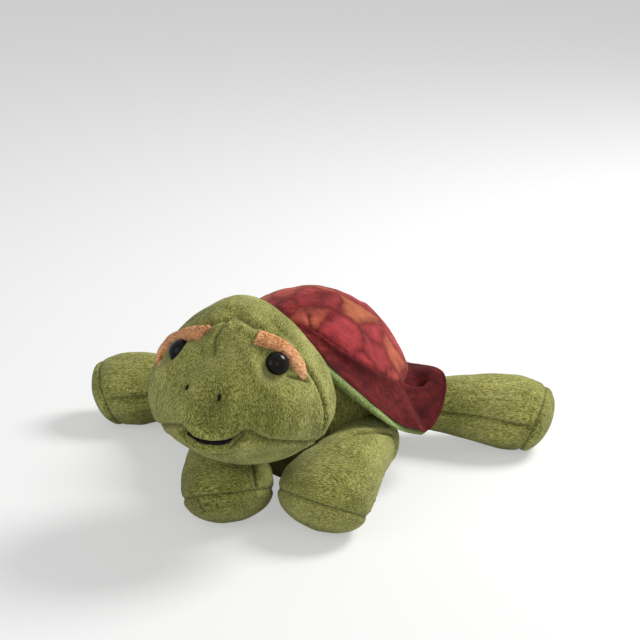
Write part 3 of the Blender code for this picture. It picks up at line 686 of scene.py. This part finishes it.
def make_shell():
    """The printed dome, sewn to the brim all round, with darts at its front."""
    def under(share):
        def place(angle):
            low = lift_at(TORSO_CENTRE, TORSO_HALF, rim_height(angle) - HEM_DROP - NARROW_GAP)
            return under_shell(angle, mix(math.pi / 2, low, share), -STUFFING_ROOM)
        return place

    def over(share):
        def place(angle):
            low = lift_at(SHELL_CENTRE, SHELL_HALF, rim_height(angle) - HEM_DROP)
            hem = outward(angle) * (HEM_SPREAD * (1 - share) ** 8)
            return shell_point(angle, mix(low, math.pi / 2, share), STUFFING_ROOM) + hem
        return place

    rows = [under(step / 20) for step in range(21)] + [over(step / 40) for step in range(41)]
    shell = new_item("shell", form(rows, 128))
    stuff(shell, 0.0032, 0.0009, spare=0.03)
    work = Sculpt(shell)

    def shell_line(*knots):
        return rounded_line([shell_point(math.radians(a), math.radians(l)) for a, l in knots])

    # Darts, soft folds and the hem's seam, each with painted shade in its groove
    work.fold(shell_line((14, 46), (12, 55), (8, 66)), 0.0012, 0.0012, fade=0.004, pucker=0.0002)
    work.fold(shell_line((18, 50), (34, 58), (60, 62), (90, 60)), 0.0030, 0.0008, fade=0.012, shade=0.2)
    work.fold(shell_line((40, 42), (52, 47), (70, 50)), 0.0024, 0.0007, fade=0.010, shade=0.2)
    work.fold(shell_line((62, 24), (66, 34), (74, 46)), 0.0030, 0.0005, fade=0.010, shade=0.15)
    work.fold(shell_line((-20, 52), (-42, 50), (-66, 52)), 0.0028, 0.0007, fade=0.012, shade=0.2)
    rim = [shell_point(turn, lift_at(SHELL_CENTRE, SHELL_HALF, rim_height(turn) + 0.0012))
           for turn in np.linspace(0, math.tau, 80, endpoint=False)]
    work.fold(rounded_line(rim, closed=True), 0.0014, 0.0007, pucker=0.0003, pitch=0.006, shade=0.6)
    work.swell(shell_point(math.radians(82), math.radians(42)), 0.030, -0.0042)
    work.uneven(0.016, 0.0006, 3.0)
    work.uneven(0.006, 0.0002, 7.0)
    work.done()
    dress(shell, shell_velour, "body", "shell_print", "shell_cover", fill=0.5)


def brim_reach(azimuth):
    side = abs(math.sin(azimuth))
    if math.cos(azimuth) > 0:
        return mix(BRIM_FRONT_REACH, BRIM_SIDE_REACH, side)
    return mix(BRIM_REAR_REACH, BRIM_SIDE_REACH, side ** BRIM_REAR_POWER)


def brim_drop(azimuth):
    turn = abs(math.remainder(azimuth, math.tau))
    if turn < BRIM_CORNER_AZIMUTH:
        return BRIM_CORNER_DROP * float(ease(turn / BRIM_CORNER_AZIMUTH))
    if turn < BRIM_WING_AZIMUTH:
        share = (turn - BRIM_CORNER_AZIMUTH) / (BRIM_WING_AZIMUTH - BRIM_CORNER_AZIMUTH)
        return mix(BRIM_CORNER_DROP, -BRIM_WING_RISE, float(ease(share)))
    share = (BRIM_TAIL_AZIMUTH - turn) / (BRIM_TAIL_AZIMUTH - BRIM_WING_AZIMUTH)
    return -BRIM_WING_RISE * float(ease(share))


def brim_frame(azimuth, share):
    """A point half way through the brim, and the way up out of it."""
    height = rim_height(azimuth)
    seam = shell_point(azimuth, lift_at(SHELL_CENTRE, SHELL_HALF, height), FABRIC / 2)
    seam.z = height - SEAM_GAP - BRIM_THICKNESS / 2
    run = outward(azimuth) * brim_reach(azimuth) - UP * brim_drop(azimuth)
    across = run.normalized().cross(UP).normalized()
    return seam + run * share, across.cross(run).normalized()


def hump(value, middle, spread):
    return math.exp(-((value - middle) / spread) ** 2)


def brim_folds(azimuth, share):
    """How far the brim's folds stand up out of it: a folded pocket at the left, a wave at the right."""
    turn = math.degrees(math.remainder(azimuth, math.tau))
    lift = 0.0024 * hump(share * brim_reach(azimuth), 0, 0.0030)
    lift -= 0.0012 * math.sin(math.pi * share) * hump(abs(turn), 50, 30)
    lift += 0.0006 * share * math.sin(math.radians(turn) * 11) * hump(abs(turn), 60, 40)
    if turn > 0:
        lift -= 0.0085 * hump(turn, 90 + 9 * share, 5.5) * hump(share, 0.30, 0.24)
        lift += 0.0028 * hump(turn, 79 + 20 * share, 3.2) * hump(share, 0.35, 0.35)
        lift -= 0.0026 * hump(turn, 80 - 10 * share, 3.4) * hump(share, 0.75, 0.45)
        lift += 0.0020 * hump(turn, 72 - 8 * share, 3.6) * hump(share, 0.75, 0.35)
    else:
        lift -= 0.0030 * hump(turn, -86 - 6 * share, 8) * hump(share, 0.45, 0.3)
    return lift


def brim_place(azimuth, turn):
    share = mix(-BRIM_TUCK / brim_reach(azimuth), 1, (1 + math.cos(turn)) / 2)
    point, up = brim_frame(azimuth, share)
    return point + up * (BRIM_THICKNESS / 2 * math.sin(turn) + brim_folds(azimuth, share))


def lining_place(azimuth, turn):
    """The padded lining, thickest at the front corners, where its roll shows past the brim's edge."""
    share = (1 + math.cos(turn)) / 2
    ahead = min(1.0, abs(math.remainder(azimuth, math.tau)) / BRIM_CORNER_AZIMUTH)
    corner = max(0.0, math.sin(math.pi * ahead))
    thickness = LINING_THICKNESS + LINING_ROLL * corner * share
    point, up = brim_frame(azimuth, share)
    folds = min(0.0, brim_folds(azimuth, share))
    point += up * (folds - BRIM_THICKNESS / 2 - LINING_EASE - thickness / 2)
    point += outward(azimuth) * (LINING_SHOW * corner * share ** 2)
    start, start_up = brim_frame(azimuth, 0.0)
    start -= start_up * (BRIM_THICKNESS / 2 + LINING_EASE + LINING_THICKNESS / 2)
    level = start.z - LINING_THICKNESS / 2
    inner = ball_point(TORSO_CENTRE, TORSO_HALF, azimuth, lift_at(TORSO_CENTRE, TORSO_HALF, level))
    gap = (start - inner).dot(outward(azimuth)) - STUFFING_ROOM
    point -= outward(azimuth) * (gap * (1 - share) ** 2)
    return point + up * (thickness / 2 * math.sin(turn))


def make_brim():
    """The red flange sewn under the dome's hem."""
    brim = new_item("brim", band(brim_place, 420, 40))
    work = Sculpt(brim)
    frames = [brim_frame(turn, 0.93) for turn in np.linspace(0, math.tau, 120, endpoint=False)]
    edge = [point + up * BRIM_THICKNESS / 2 for point, up in frames]
    # A groove near the brim's edge, with faint painted shade in it
    work.fold(rounded_line(edge, closed=True), 0.0009, 0.0004, shade=0.25)
    work.uneven(0.010, 0.0004, 2.0)
    work.done()
    dress(brim, red_velour, "body", "red_plush", "shell_brim", fill=0.1)


def make_lining():
    lining = new_item("lining", band(lining_place, 360, 32))
    roughen(lining, (0.009, 0.0004, 5.0))
    dress(lining, lining_pile, "body", "lining_plush", "brim_lining", fill=0.4)


# Head
def head_point(way, inset=0.0):
    """The head's surface in its own frame, in the way of a unit vector."""
    girth = 1 - CROWN_TAPER * max(0.0, way.z) ** CROWN_POWER
    girth += CHEEK_BULGE * math.exp(-((way.z - CHEEK_LEVEL) / CHEEK_LEVEL) ** 2)
    muzzle = 1 + MUZZLE_BULGE * math.exp((way.dot(direction(0, MUZZLE_LIFT)) - 1) / MUZZLE_SPREAD)
    depth = HEAD_FRONT * muzzle if way.y < 0 else HEAD_BACK
    tall = HEAD_CROWN if way.z > 0 else HEAD_JAW
    return Vector(((HEAD_HALF_WIDTH * girth - inset) * way.x, (depth * girth - inset) * way.y,
                   (tall - inset) * way.z))


def head_place(point):
    return HEAD_CENTRE + HEAD_SPIN @ point


def head_spot(azimuth, lift):
    """A point of the head's surface from its direction in degrees."""
    return head_place(head_point(degrees_way(azimuth, lift)))


def head_line(*knots):
    return rounded_line([head_spot(azimuth, lift) for azimuth, lift in knots])


def make_head():
    """The stuffed head: muzzle, cheeks, lips, brow folds and the seams of its panels."""
    lifts = [math.pi * (0.5 - step / 72) for step in range(73)]
    rows = [lambda angle, lift=lift: head_place(head_point(direction(angle, lift), HEAD_STUFFING_ROOM))
            for lift in lifts]
    head = new_item("head", form(rows, 96))
    stuff(head, 0.003, 0.0012)
    work = Sculpt(head)
    # Every fold below also paints shade into its groove
    # Forehead: a dimple where the darts meet, the centre seam and the pleats beside it
    work.swell(head_spot(8, 63), 0.006, -0.0020)
    work.swell(head_spot(35, 74), 0.018, 0.0016)
    work.swell(head_spot(-62, 66), 0.016, -0.0012)
    work.fold(head_line((8, 64), (-1, 58), (-4, 49), (-5, 43), (-1, 37), (0, 31)),
              0.0012, 0.0014, fade=0.008, pucker=0.0002)
    work.fold(head_line((9, 63), (24, 60), (36, 55), (44, 52), (56, 51)),
              0.0016, 0.0014, fade=0.008, shade=0.6)
    work.fold(head_line((6, 63), (-3, 58), (-14, 54), (-23, 51), (-34, 50)),
              0.0015, 0.0012, fade=0.008, shade=0.5)
    work.fold(head_line((14, 57), (20, 51), (27, 48)), 0.0011, 0.0006, fade=0.006, shade=0.4)
    work.fold(head_line((-10, 48), (-18, 45), (-25, 46)), 0.0011, 0.0006, fade=0.006, shade=0.3)
    # Eye hollows, the snout's edge in front of each and the swelling over each brow
    for side in (1, -1):
        work.swell(head_spot(FACE_LEAN + side * EYE_AZIMUTH, EYE_LIFT), 0.0090, -0.0026)
        work.swell(head_spot(FACE_LEAN + side * (EYE_AZIMUTH + 6), EYE_LIFT + 30), 0.010, 0.0010)
        work.swell(head_spot(FACE_LEAN + side * (EYE_AZIMUTH - 4), EYE_LIFT - 26), 0.014, 0.0008)
        work.swell(head_spot(side * 48, -6), 0.014, 0.0014)
    work.ridge(head_line((31, 44), (31, 36), (32, 28), (36, 20), (44, 14)), 0.0042, 0.0020, fade=0.005)
    work.ridge(head_line((-24, 40), (-27, 33), (-30, 26), (-36, 18), (-48, 12)), 0.0055, 0.0048, fade=0.006)
    work.ridge(head_line((-1, 34), (-1, 22), (-1, 10)), 0.009, 0.0008, fade=0.008)
    # A crease from the eye to the brow's tail, with painted shadow under the pad
    work.fold(head_line((55, 23), (61, 21), (67, 19), (73, 15)), 0.0012, 0.0014, fade=0.003, shade=0.7)
    # Side seams, faint over the crown and deeper beside the cheeks
    work.fold(head_line((50, 66), (70, 52), (80, 38), (80, 30)), 0.0022, 0.0005, fade=0.010, shade=0.15)
    work.fold(head_line((-44, 66), (-62, 52), (-76, 38), (-78, 30)), 0.0022, 0.0005, fade=0.010, shade=0.15)
    for line in (((79, 30), (78, 21), (80, 13), (81, 3), (81, -8), (82, -20), (88, -34), (96, -44)),
                 ((-78, 30), (-78, 18), (-79, 4), (-82, -12), (-88, -27), (-98, -40))):
        work.fold(head_line(*line), 0.0014, 0.0016, fade=0.008, pucker=0.0002, shade=0.7)
    # Mouth: the upper lip's edge, the lower lip's roll and the jaw seams that run back from its corners
    work.ridge(head_line((-10, -5), (-4, -9), (6, -10.5), (16, -8), (24, -4)), 0.0048, 0.0008, fade=0.008)
    # The mouth's groove, filled with painted shade
    work.fold(head_line((-13, -10), (-8, -12.5), (-5, -15), (1, -16.3), (7, -16.5), (13, -15.3), (18, -13),
                        (23, -9.5), (27, -7)), 0.0016, 0.0030, fade=0.0025, shoulder=0.15, shade=1.0)
    work.ridge(head_line((-9, -17.5), (-3, -20.5), (6, -21), (13, -18.5), (20, -14)),
               0.0029, 0.0025, fade=0.005)
    # The crease under the lower lip and a broad hollow below it, both with painted shadow where the chin
    # falls into shade
    work.fold(head_line((-13, -10), (-13, -18), (-11, -23), (-4, -26), (6, -26), (16, -21), (23, -14),
                        (27, -7)), 0.0018, 0.0036, fade=0.004, shoulder=0.2, shade=0.9)
    work.fold(head_line((-13, -25), (-10, -32), (-3, -35.5), (6, -35), (15, -30), (23, -22)),
              0.0034, 0.0016, fade=0.008, shoulder=0.0, shade=0.55)
    for line in (((26, -6), (31, -9), (34, -12), (39, -15), (50, -19), (62, -24), (75, -28), (90, -31)),
                 ((-12, -8), (-15, -9), (-23, -12), (-33, -18), (-45, -23), (-60, -27), (-88, -31))):
        work.fold(head_line(*line), 0.0014, 0.0020, fade=0.003, pucker=0.0002, shade=0.8)
    for line in (((40, -26), (55, -31), (75, -37)), ((-30, -26), (-50, -33), (-75, -38))):
        work.ridge(head_line(*line), 0.006, -0.0012, fade=0.010)
    for corner in ((28, -6), (-13, -9)):
        work.swell(head_spot(*corner), 0.0040, -0.0014)
    for azimuth, lift, _ in NOSTRILS.values():
        work.swell(head_spot(azimuth, lift), 0.0028, -0.0008)
    work.uneven(0.014, 0.0005, 1.0)
    work.uneven(0.005, 0.00015, 4.0)
    work.done()
    hollow(head, NECK, NECK_RADIUS + 0.0002, HEAD_CENTRE)
    dress(head, green_pile, "head", "green_plush", "head_cover", "head_filling", fill=0.9)
    return head


def skin_tree(item):
    """What finds the points of a piece's surface from outside."""
    return BVHTree.FromPolygons([vertex.co.copy() for vertex in item.data.vertices],
                                [tuple(face.vertices) for face in item.data.polygons])


def on_head(tree, way):
    """Where a line inwards in the head's own frame meets its skin, and the skin's normal there."""
    target = head_place(head_point(way))
    inwards = (HEAD_CENTRE - target).normalized()
    place, normal, _, _ = tree.ray_cast(target - inwards * 0.02, inwards)
    return place, normal


def head_normal(way):
    side = way.cross(UP).normalized()

    def slope(aside):
        near = aside * 0.005
        return head_point((way + near).normalized()) - head_point((way - near).normalized())

    return slope(side.cross(way)).cross(slope(side)).normalized()


def make_neck():
    lifts = [math.pi * (0.5 - step / 24) for step in range(25)]
    rows = [lambda angle, lift=lift: NECK + direction(angle, lift) * (NECK_RADIUS - SEAM_GAP)
            for lift in lifts]
    neck = new_item("neck_roll", form(rows, 48))
    subdivide(neck, 1)
    roughen(neck, (0.010, 0.0003, 2.0))
    dress(neck, green_pile, "neck", "green_plush", "neck", fill=0.8)


def make_eyes():
    """Domed buttons: half an arch of points spun round the eye's stem."""
    for side_name, side in SIDES:
        way = degrees_way(FACE_LEAN + side * EYE_AZIMUTH, EYE_LIFT)
        axis = HEAD_SPIN @ head_normal(way)
        seat = head_place(head_point(way)) - axis * EYE_SINK
        skin = bmesh.new()
        arch = []
        for step in range(17):
            turn = math.pi / 2 * step / 16
            arch.append((EYE_RADIUS * math.sin(turn), EYE_HEIGHT * math.cos(turn) + 0.0002))
        arch += [(EYE_RADIUS * 0.97, -0.0008), (EYE_RADIUS * 0.80, -0.0016), (0.0, -0.0016)]
        corners = [skin.verts.new((radius, 0, height)) for radius, height in arch]
        edges = [skin.edges.new(pair) for pair in zip(corners, corners[1:])]
        bmesh.ops.spin(skin, geom=corners + edges, axis=UP, cent=(0, 0, 0), angle=math.tau, steps=64,
                       use_merge=True)
        bmesh.ops.rotate(skin, verts=skin.verts, matrix=UP.rotation_difference(axis).to_matrix())
        bmesh.ops.translate(skin, verts=skin.verts, vec=seat)
        eye = new_item("eye_button_" + side_name, skin)
        dress(eye, eye_button, "head", "eye_plastic", "eye_" + side_name)


def skin_trail(tree, route):
    """A route's places on the skin, each with the way ahead and the way across."""
    middles = [on_head(tree, degrees_way(azimuth, lift)) for azimuth, lift, _ in route]
    trail = []
    for step, (place, normal) in enumerate(middles):
        after = middles[min(step + 1, len(middles) - 1)][0]
        ahead = (after - middles[max(step - 1, 0)][0]).normalized()
        trail.append((place, ahead, ahead.cross(normal).normalized()))
    return trail


def make_brows(tree):
    """Padded crescents on the skin over each eye, square at the nose and pointed at the side."""
    for side_name, side in SIDES:
        knots = [(*spot, width * 1000) for spot, width in zip(BROW_ROUTES[side], BROW_WIDTHS)]
        route = rounded_line(knots, spacing=0.8)
        trail = skin_trail(tree, route)
        widths = route[:, 2] / 1000
        last = len(route) - 1

        def row(step, share):
            place, ahead, across = trail[step]
            full = BROW_THICKNESS * share * min(1.0, widths[step] / BROW_FULL_WIDTH)

            def brow_place(angle):
                aside = math.copysign(abs(math.cos(angle)) ** 0.8, math.cos(angle))
                slide = BROW_SLANT[side] * float(ease(1 - step / 8)) * aside * widths[step] * share
                point = place + across * (widths[step] * share * aside) - ahead * slide
                foot, out, _, _ = tree.find_nearest(point)
                return foot + out * (full * max(0.0, math.sin(angle)) ** 0.75 - NARROW_GAP)
            return brow_place

        rows = [row(0, 0.0), row(0, 0.55), row(0, 0.85)] + [row(step, 1.0) for step in range(1, last)]
        rows += [row(last, 0.7), row(last, 0.0)]
        brow = new_item("brow_pad_" + side_name, form(rows, 28))
        subdivide(brow, 1)
        roughen(brow, (0.004, 0.00025, 2.0 + side), (0.0012, 0.00012, 5.0 + side))
        dress(brow, brow_pile, "head", "brow_plush", "brow_" + side_name, fill=0.5)


def thread_along(name, tree, knots, radius, sink):
    """A stitch laid on the skin, thinner towards its ends."""
    trail = skin_trail(tree, rounded_line([(a, l, 0) for a, l in knots], spacing=0.5))
    count = len(trail)

    def row(step, share):
        place, ahead, across = trail[step]
        out = across.cross(ahead).normalized()
        girth = radius * share * (0.55 + 0.45 * math.sin(math.pi * (step + 0.5) / count))
        middle = place + out * (radius - sink)
        return lambda angle: middle + (across * math.cos(angle) + out * math.sin(angle)) * girth

    rows = [row(0, 0.0)] + [row(step, 1.0) for step in range(count)] + [row(count - 1, 0.0)]
    return new_item(name, form(rows, 12))


def make_stitches(tree):
    for side_name, side in SIDES:
        azimuth, lift, tall = NOSTRILS[side]
        knots = [(azimuth, lift - tall), (azimuth, lift), (azimuth, lift + tall)]
        stitch = thread_along("nostril_thread_" + side_name, tree, knots, 0.0008, 0.0006)
        dress(stitch, dark_thread, "head", "thread", "nostril_stitch_" + side_name)
    knots = [(-9, -13.3), (-7, -14.6), (-4, -16.2), (1, -17.2), (7, -17.3), (13, -16), (18, -13.2)]
    mouth = thread_along("mouth_thread", tree, knots, 0.0014, 0.0007)
    dress(mouth, dark_thread, "head", "thread", "mouth_stitch")


# Legs
def section_row(centre, run, wide, tall):
    side_way = run.cross(UP).normalized()
    rise = side_way.cross(run).normalized()
    return lambda angle: centre + side_way * (wide * math.cos(angle)) + rise * (tall * math.sin(angle))


def seam_height(tall, bulge, tilt):
    return math.hypot(bulge * math.sin(tilt), tall * math.cos(tilt)) - FLOOR_PRESS


def leg_stations(hip, root, foot, facing, shank, wide, tall, swell_end, draw, count):
    """Where each ring of a leg lies, which way it looks, and its half width and half height."""
    knee = foot - facing * shank
    first_run = (knee - hip).normalized()
    stations = []
    for step in range(count + 1):
        share = step / count
        centre = hip * (1 - share) ** 2 + knee * (2 * share * (1 - share)) + foot * share ** 2
        run = mix(first_run, facing, share).normalized()
        swell = float(ease(share / swell_end))
        drawn = 1 - draw * float(ease((share - swell_end) / (1 - swell_end)))
        stations.append((centre, run, mix(root, wide, swell) * drawn, mix(root, tall, swell) * drawn))
    return stations


def front_stations(side, count=40):
    hip = mirrored(FRONT_HIP, side)
    foot = hip + outward(-side * FRONT_TOE_IN[side]) * FRONT_LEG_LENGTH
    foot.z = seam_height(FRONT_HALF_HEIGHT, FRONT_SOLE_BULGE, FRONT_SOLE_TILT)
    facing = direction(-side * FRONT_SOLE_TOE_IN, -FRONT_SOLE_TILT)
    stations = leg_stations(hip, FRONT_HIP_RADIUS * 0.97, foot, facing, FRONT_SHANK, FRONT_HALF_WIDTH,
                            FRONT_HALF_HEIGHT, FRONT_SWELL, FRONT_DRAW, count)
    spread = []
    for step, (centre, run, wide, tall) in enumerate(stations):
        grown = float(ease((step / count - 0.25) / 0.5))
        more = FRONT_INNER_SPREAD[side] / 2 * grown
        less = FRONT_TOP_DIP[side] / 2 * grown
        inwards = run.cross(UP).normalized() * side
        spread.append((centre + inwards * more - UP * less, run, wide + more, tall - less))
    return hip, spread


def rear_stations(side, count=40):
    hip = mirrored(REAR_HIP, side)
    azimuth = side * (math.pi / 2 - REAR_FORWARD[side])
    foot = hip + outward(azimuth) * REAR_LEG_LENGTH
    foot.z = seam_height(REAR_LEG_RADIUS * (1 - REAR_DRAW), REAR_SOLE_BULGE, REAR_SOLE_TILT)
    facing = direction(azimuth, -REAR_SOLE_TILT)
    return hip, leg_stations(hip, REAR_HIP_RADIUS * 0.97, foot, facing, REAR_SHANK, REAR_LEG_RADIUS,
                             REAR_LEG_RADIUS, REAR_SWELL, REAR_DRAW, count)


def clear_of_torso(item, hip, radius, turns, room):
    """Presses a leg back to the torso's surface, at rest and as it is swept, outside its hip's ball."""
    points = points_of(item)
    hip, centre = np.array(hip), np.array(TORSO_CENTRE)
    for turn in turns:
        spin = np.array(Matrix.Rotation(turn, 3, "Z")).T
        swept = (points - hip) @ spin + hip
        level = np.linalg.norm((swept - centre) / (np.array(TORSO_HALF) + room), axis=1)
        inside = (level < 1) & (np.linalg.norm(swept - hip, axis=1) > radius)
        swept[inside] = centre + (swept[inside] - centre) / level[inside][:, None]
        points = (swept - hip) @ spin.T + hip
    put(item, points)


def cut_off(name, item, place, way):
    """A closed copy of the part of a piece that lies behind a plane."""
    skin = bmesh.new()
    skin.from_mesh(item.data)
    bmesh.ops.bisect_plane(skin, geom=skin.verts[:] + skin.edges[:] + skin.faces[:], plane_co=place,
                           plane_no=way, clear_outer=True)
    rim = [edge for edge in skin.edges if edge.is_boundary]
    caps = bmesh.ops.holes_fill(skin, edges=rim, sides=0)["faces"]
    bmesh.ops.triangulate(skin, faces=caps)
    return new_item(name, skin)


def make_leg(name, hip, radius, stations, bulge, turns, room, seams):
    """A stuffed stump with its seams, cut at the sole's seam into cover and sole."""
    first_run = stations[0][1]
    root = stations[0][2] - STUFFING_ROOM
    rows = []
    for step in range(10):
        turn = math.pi / 2 * step / 10
        rows.append(section_row(hip - first_run * (root * math.cos(turn)), first_run,
                                root * math.sin(turn), root * math.sin(turn)))
    rows += [section_row(centre, run, wide - STUFFING_ROOM, tall - STUFFING_ROOM)
             for centre, run, wide, tall in stations]
    centre, run, wide, tall = stations[-1]

    def sole_row(turn, inset=0.0):
        return section_row(centre + run * ((bulge - inset) * math.sin(turn)), run,
                           (wide - inset) * math.cos(turn), (tall - inset) * math.cos(turn))

    rows += [sole_row(math.pi / 2 * step / 14, STUFFING_ROOM) for step in range(1, 15)]
    leg = new_item(name, form(rows, 72))
    stuff(leg, 0.003, 0.0010, spare=0.03)
    work = Sculpt(leg)
    # The sole's seam, with painted shade in its groove
    ring = [section_row(*stations[-1])(turn) for turn in np.linspace(0, math.tau, 60, endpoint=False)]
    work.fold(rounded_line(ring, closed=True), 0.0015, 0.0006, pucker=0.0003, pitch=0.0050, shade=0.6)

    def spot(place, angle):
        """A point of the stump at a share of its length, where shares over 1 lie on the sole."""
        if place > 1:
            return sole_row(math.pi / 2 * (place - 1))(angle)
        number = place * (len(stations) - 1)
        low = min(int(number), len(stations) - 2)
        one, two = (section_row(*stations[low + more])(angle) for more in (0, 1))
        return mix(one, two, number - low)

    # Seams down the stump and pleats on the sole, with painted shade as dark as each groove is deep
    for (first, first_angle), (last, last_angle), depth in seams:
        angles = np.radians(np.linspace(first_angle, last_angle, 12))
        knots = [spot(place, angle) for place, angle in zip(np.linspace(first, last, 12), angles)]
        work.fold(rounded_line(knots), 0.0014, depth, fade=0.003, pucker=0.0003, pitch=0.0045,
                  shade=depth * 600)
    work.uneven(0.010, 0.0004, 6.0 + hip.x * 50)
    work.done()
    clear_of_torso(leg, hip, radius, turns, room)
    press_to_floor(leg)
    cover = cut_off(name + "_stocking", leg, centre - run * SOLE_GAP, run)
    sole = cut_off(name + "_sole_pad", leg, centre + run * SOLE_GAP, -run)
    bpy.data.objects.remove(leg)
    dress(cover, green_leg_pile, name, "green_plush", name + "_cover", name + "_filling", fill=0.8)
    dress(sole, green_leg_pile, name, "green_plush", name + "_sole", fill=0.8)


def make_legs():
    for side_name, side in SIDES:
        hip, stations = front_stations(side)
        front_seams = [((0.2, 200), (1.0, 200), 0.0010), ((0.2, -20), (1.0, -20), 0.0010)]
        if side > 0:
            front_seams.append(((0.33, 93), (0.04, 153), 0.0014))
        else:
            front_seams.append(((0.66, 121), (1.0, 121), 0.0016))
            front_seams += [((1.06, angle), (1.42, angle + 4), 0.0008) for angle in (40, 54, 64)]
        make_leg("front_leg_" + side_name, hip, FRONT_HIP_RADIUS, stations, FRONT_SOLE_BULGE,
                 (0.0, side * FRONT_SWEEP), 0.0003, front_seams)
        hip, stations = rear_stations(side)
        forward = REAR_FORWARD[side] - REAR_SWEEP_FORWARD
        ahead = 8 if side > 0 else 172
        rear_seams = [((0.15, angle), (1.0, angle), 0.0012) for angle in (ahead, ahead + 180)]
        make_leg("rear_leg_" + side_name, hip, REAR_HIP_RADIUS, stations, REAR_SOLE_BULGE,
                 (0.0, side * forward), 0.0012, rear_seams)


def make_tail():
    run = outward(math.pi)
    lift = lift_at(TORSO_CENTRE, TORSO_HALF, TAIL_HEIGHT + TAIL_HALF_HEIGHT)
    root = ball_point(TORSO_CENTRE, TORSO_HALF, math.pi, lift) + run * SEAM_GAP
    root.z = TAIL_HEIGHT

    def ring(share):
        girth = math.sqrt(1 - share ** 2)
        return section_row(root + run * (TAIL_LENGTH * share), run, TAIL_HALF_WIDTH * girth,
                           TAIL_HALF_HEIGHT * girth)

    rows = [section_row(root - run * TAIL_ROOT, run, 0.0, 0.0)]
    rows += [section_row(root - run * TAIL_ROOT * (1 - step / 4), run, TAIL_HALF_WIDTH, TAIL_HALF_HEIGHT)
             for step in range(4)]
    rows += [ring(step / 24) for step in range(25)]
    tail = new_item("tail_tip", form(rows, 36))
    subdivide(tail, 1)
    work = Sculpt(tail)
    # The edge seam, with painted shade in its groove
    edge = [ring(share)(0) for share in (0.05, 0.3, 0.6, 0.9)]
    work.fold(rounded_line(edge), 0.0012, 0.0008, fade=0.003)
    work.uneven(0.006, 0.0003, 3.0)
    work.done()
    dress(tail, green_pile, "body", "green_plush", "tail", fill=0.7)


make_torso()
make_shell()
make_brim()
make_lining()
make_neck()
head_item = make_head()
head_tree = skin_tree(head_item)
make_eyes()
make_brows(head_tree)
make_stitches(head_tree)
make_legs()
make_tail()
for washer in ("eye_washer_left", "eye_washer_right"):
    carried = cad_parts[washer].data.materials
    carried.clear()
    carried.append(washer_plastic)


# Floor, lights and camera
def make_floor():
    skin = bmesh.new()
    bmesh.ops.create_grid(skin, x_segments=1, y_segments=1, size=12)
    bmesh.ops.translate(skin, verts=skin.verts, vec=(0, 0, -0.0002))
    floor = new_item("floor", skin)
    finish = Finish("pale_floor", roughness=0.9, specular_ior_level=0.1)
    finish.shader.inputs["Base Color"].default_value = (0.80, 0.80, 0.79, 1)
    pale = finish.node("ShaderNodeEmission", {}, {"Color": (0.86, 0.86, 0.85, 1), "Strength": 1.0})
    seen = finish.node("ShaderNodeLightPath") * 0.5
    blend = finish.node("ShaderNodeMixShader", {}, {0: seen, 2: pale})
    finish.tree.links.new(finish.shader.outputs[0], blend.socket.node.inputs[1])
    finish.tree.links.new(blend.socket, finish.tree.nodes["Material Output"].inputs[0])
    floor.data.materials.append(finish.material)


def set_up(name, data, place, way, front):
    """Places a lamp or camera, with its front axis turned one way."""
    item = bpy.data.objects.new(name, data)
    item.location = place
    item.rotation_mode = "QUATERNION"
    item.rotation_quaternion = way.to_track_quat(front, "Y")
    bpy.context.scene.collection.objects.link(item)
    return item


def make_lamp(name, place, aim, size, power):
    lamp = bpy.data.lights.new(name, "AREA")
    lamp.shape = "DISK"
    lamp.size = size
    lamp.energy = power
    set_up(name, lamp, place, Vector(aim) - Vector(place), "-Z")


def make_world():
    """A dim sky that lights the toy, and a white one where the sky itself is seen."""
    world = bpy.data.worlds.new("studio")
    bpy.context.scene.world = world
    world.use_nodes = True
    nodes, links = world.node_tree.nodes, world.node_tree.links
    dim, white = nodes["Background"], nodes.new("ShaderNodeBackground")
    for sky, colour, strength in ((dim, (0.95, 0.97, 1.0, 1), 0.38), (white, (1, 1, 1, 1), 1.0)):
        sky.inputs["Color"].default_value = colour
        sky.inputs["Strength"].default_value = strength
    path = nodes.new("ShaderNodeLightPath").outputs
    seen = path["Is Camera Ray"]
    for kind in ("Is Glossy Ray", "Is Transmission Ray"):
        either = nodes.new("ShaderNodeMath")
        either.operation = "MAXIMUM"
        links.new(seen, either.inputs[0])
        links.new(path[kind], either.inputs[1])
        seen = either.outputs[0]
    blend = nodes.new("ShaderNodeMixShader")
    for number, socket in enumerate((seen, dim.outputs[0], white.outputs[0])):
        links.new(socket, blend.inputs[number])
    links.new(blend.outputs[0], nodes["World Output"].inputs[0])


CAMERA_AZIMUTH = math.radians(12)
CAMERA_LIFT = math.radians(24)
CAMERA_DISTANCE = 0.900
CAMERA_FOCUS = Vector((0, -0.027, 0.040))
CAMERA_PIXELS = 1425
FOCUS_PIXEL = (298, 418)
IMAGE = 640
SENSOR = 36.0


def make_camera():
    lens = bpy.data.cameras.new("camera")
    lens.sensor_width = SENSOR
    lens.lens = CAMERA_PIXELS / IMAGE * SENSOR
    lens.shift_x = (IMAGE / 2 - FOCUS_PIXEL[0]) / IMAGE
    lens.shift_y = (FOCUS_PIXEL[1] - IMAGE / 2) / IMAGE
    lens.clip_start = 0.05
    lens.clip_end = 60
    back = direction(CAMERA_AZIMUTH, CAMERA_LIFT)
    bpy.context.scene.camera = set_up("camera", lens, CAMERA_FOCUS + back * CAMERA_DISTANCE, back, "Z")


make_floor()
make_lamp("key", (0.75, 0.45, 0.95), (0, 0, 0.05), 0.55, 21)
make_lamp("fill", (-0.70, -0.95, 0.70), (0, 0, 0.05), 0.90, 3.8)
make_lamp("front", (0.55, -1.10, 0.80), (0, -0.05, 0.05), 0.70, 1.8)
make_world()
make_camera()
bpy.context.scene.view_settings.view_transform = "Standard"
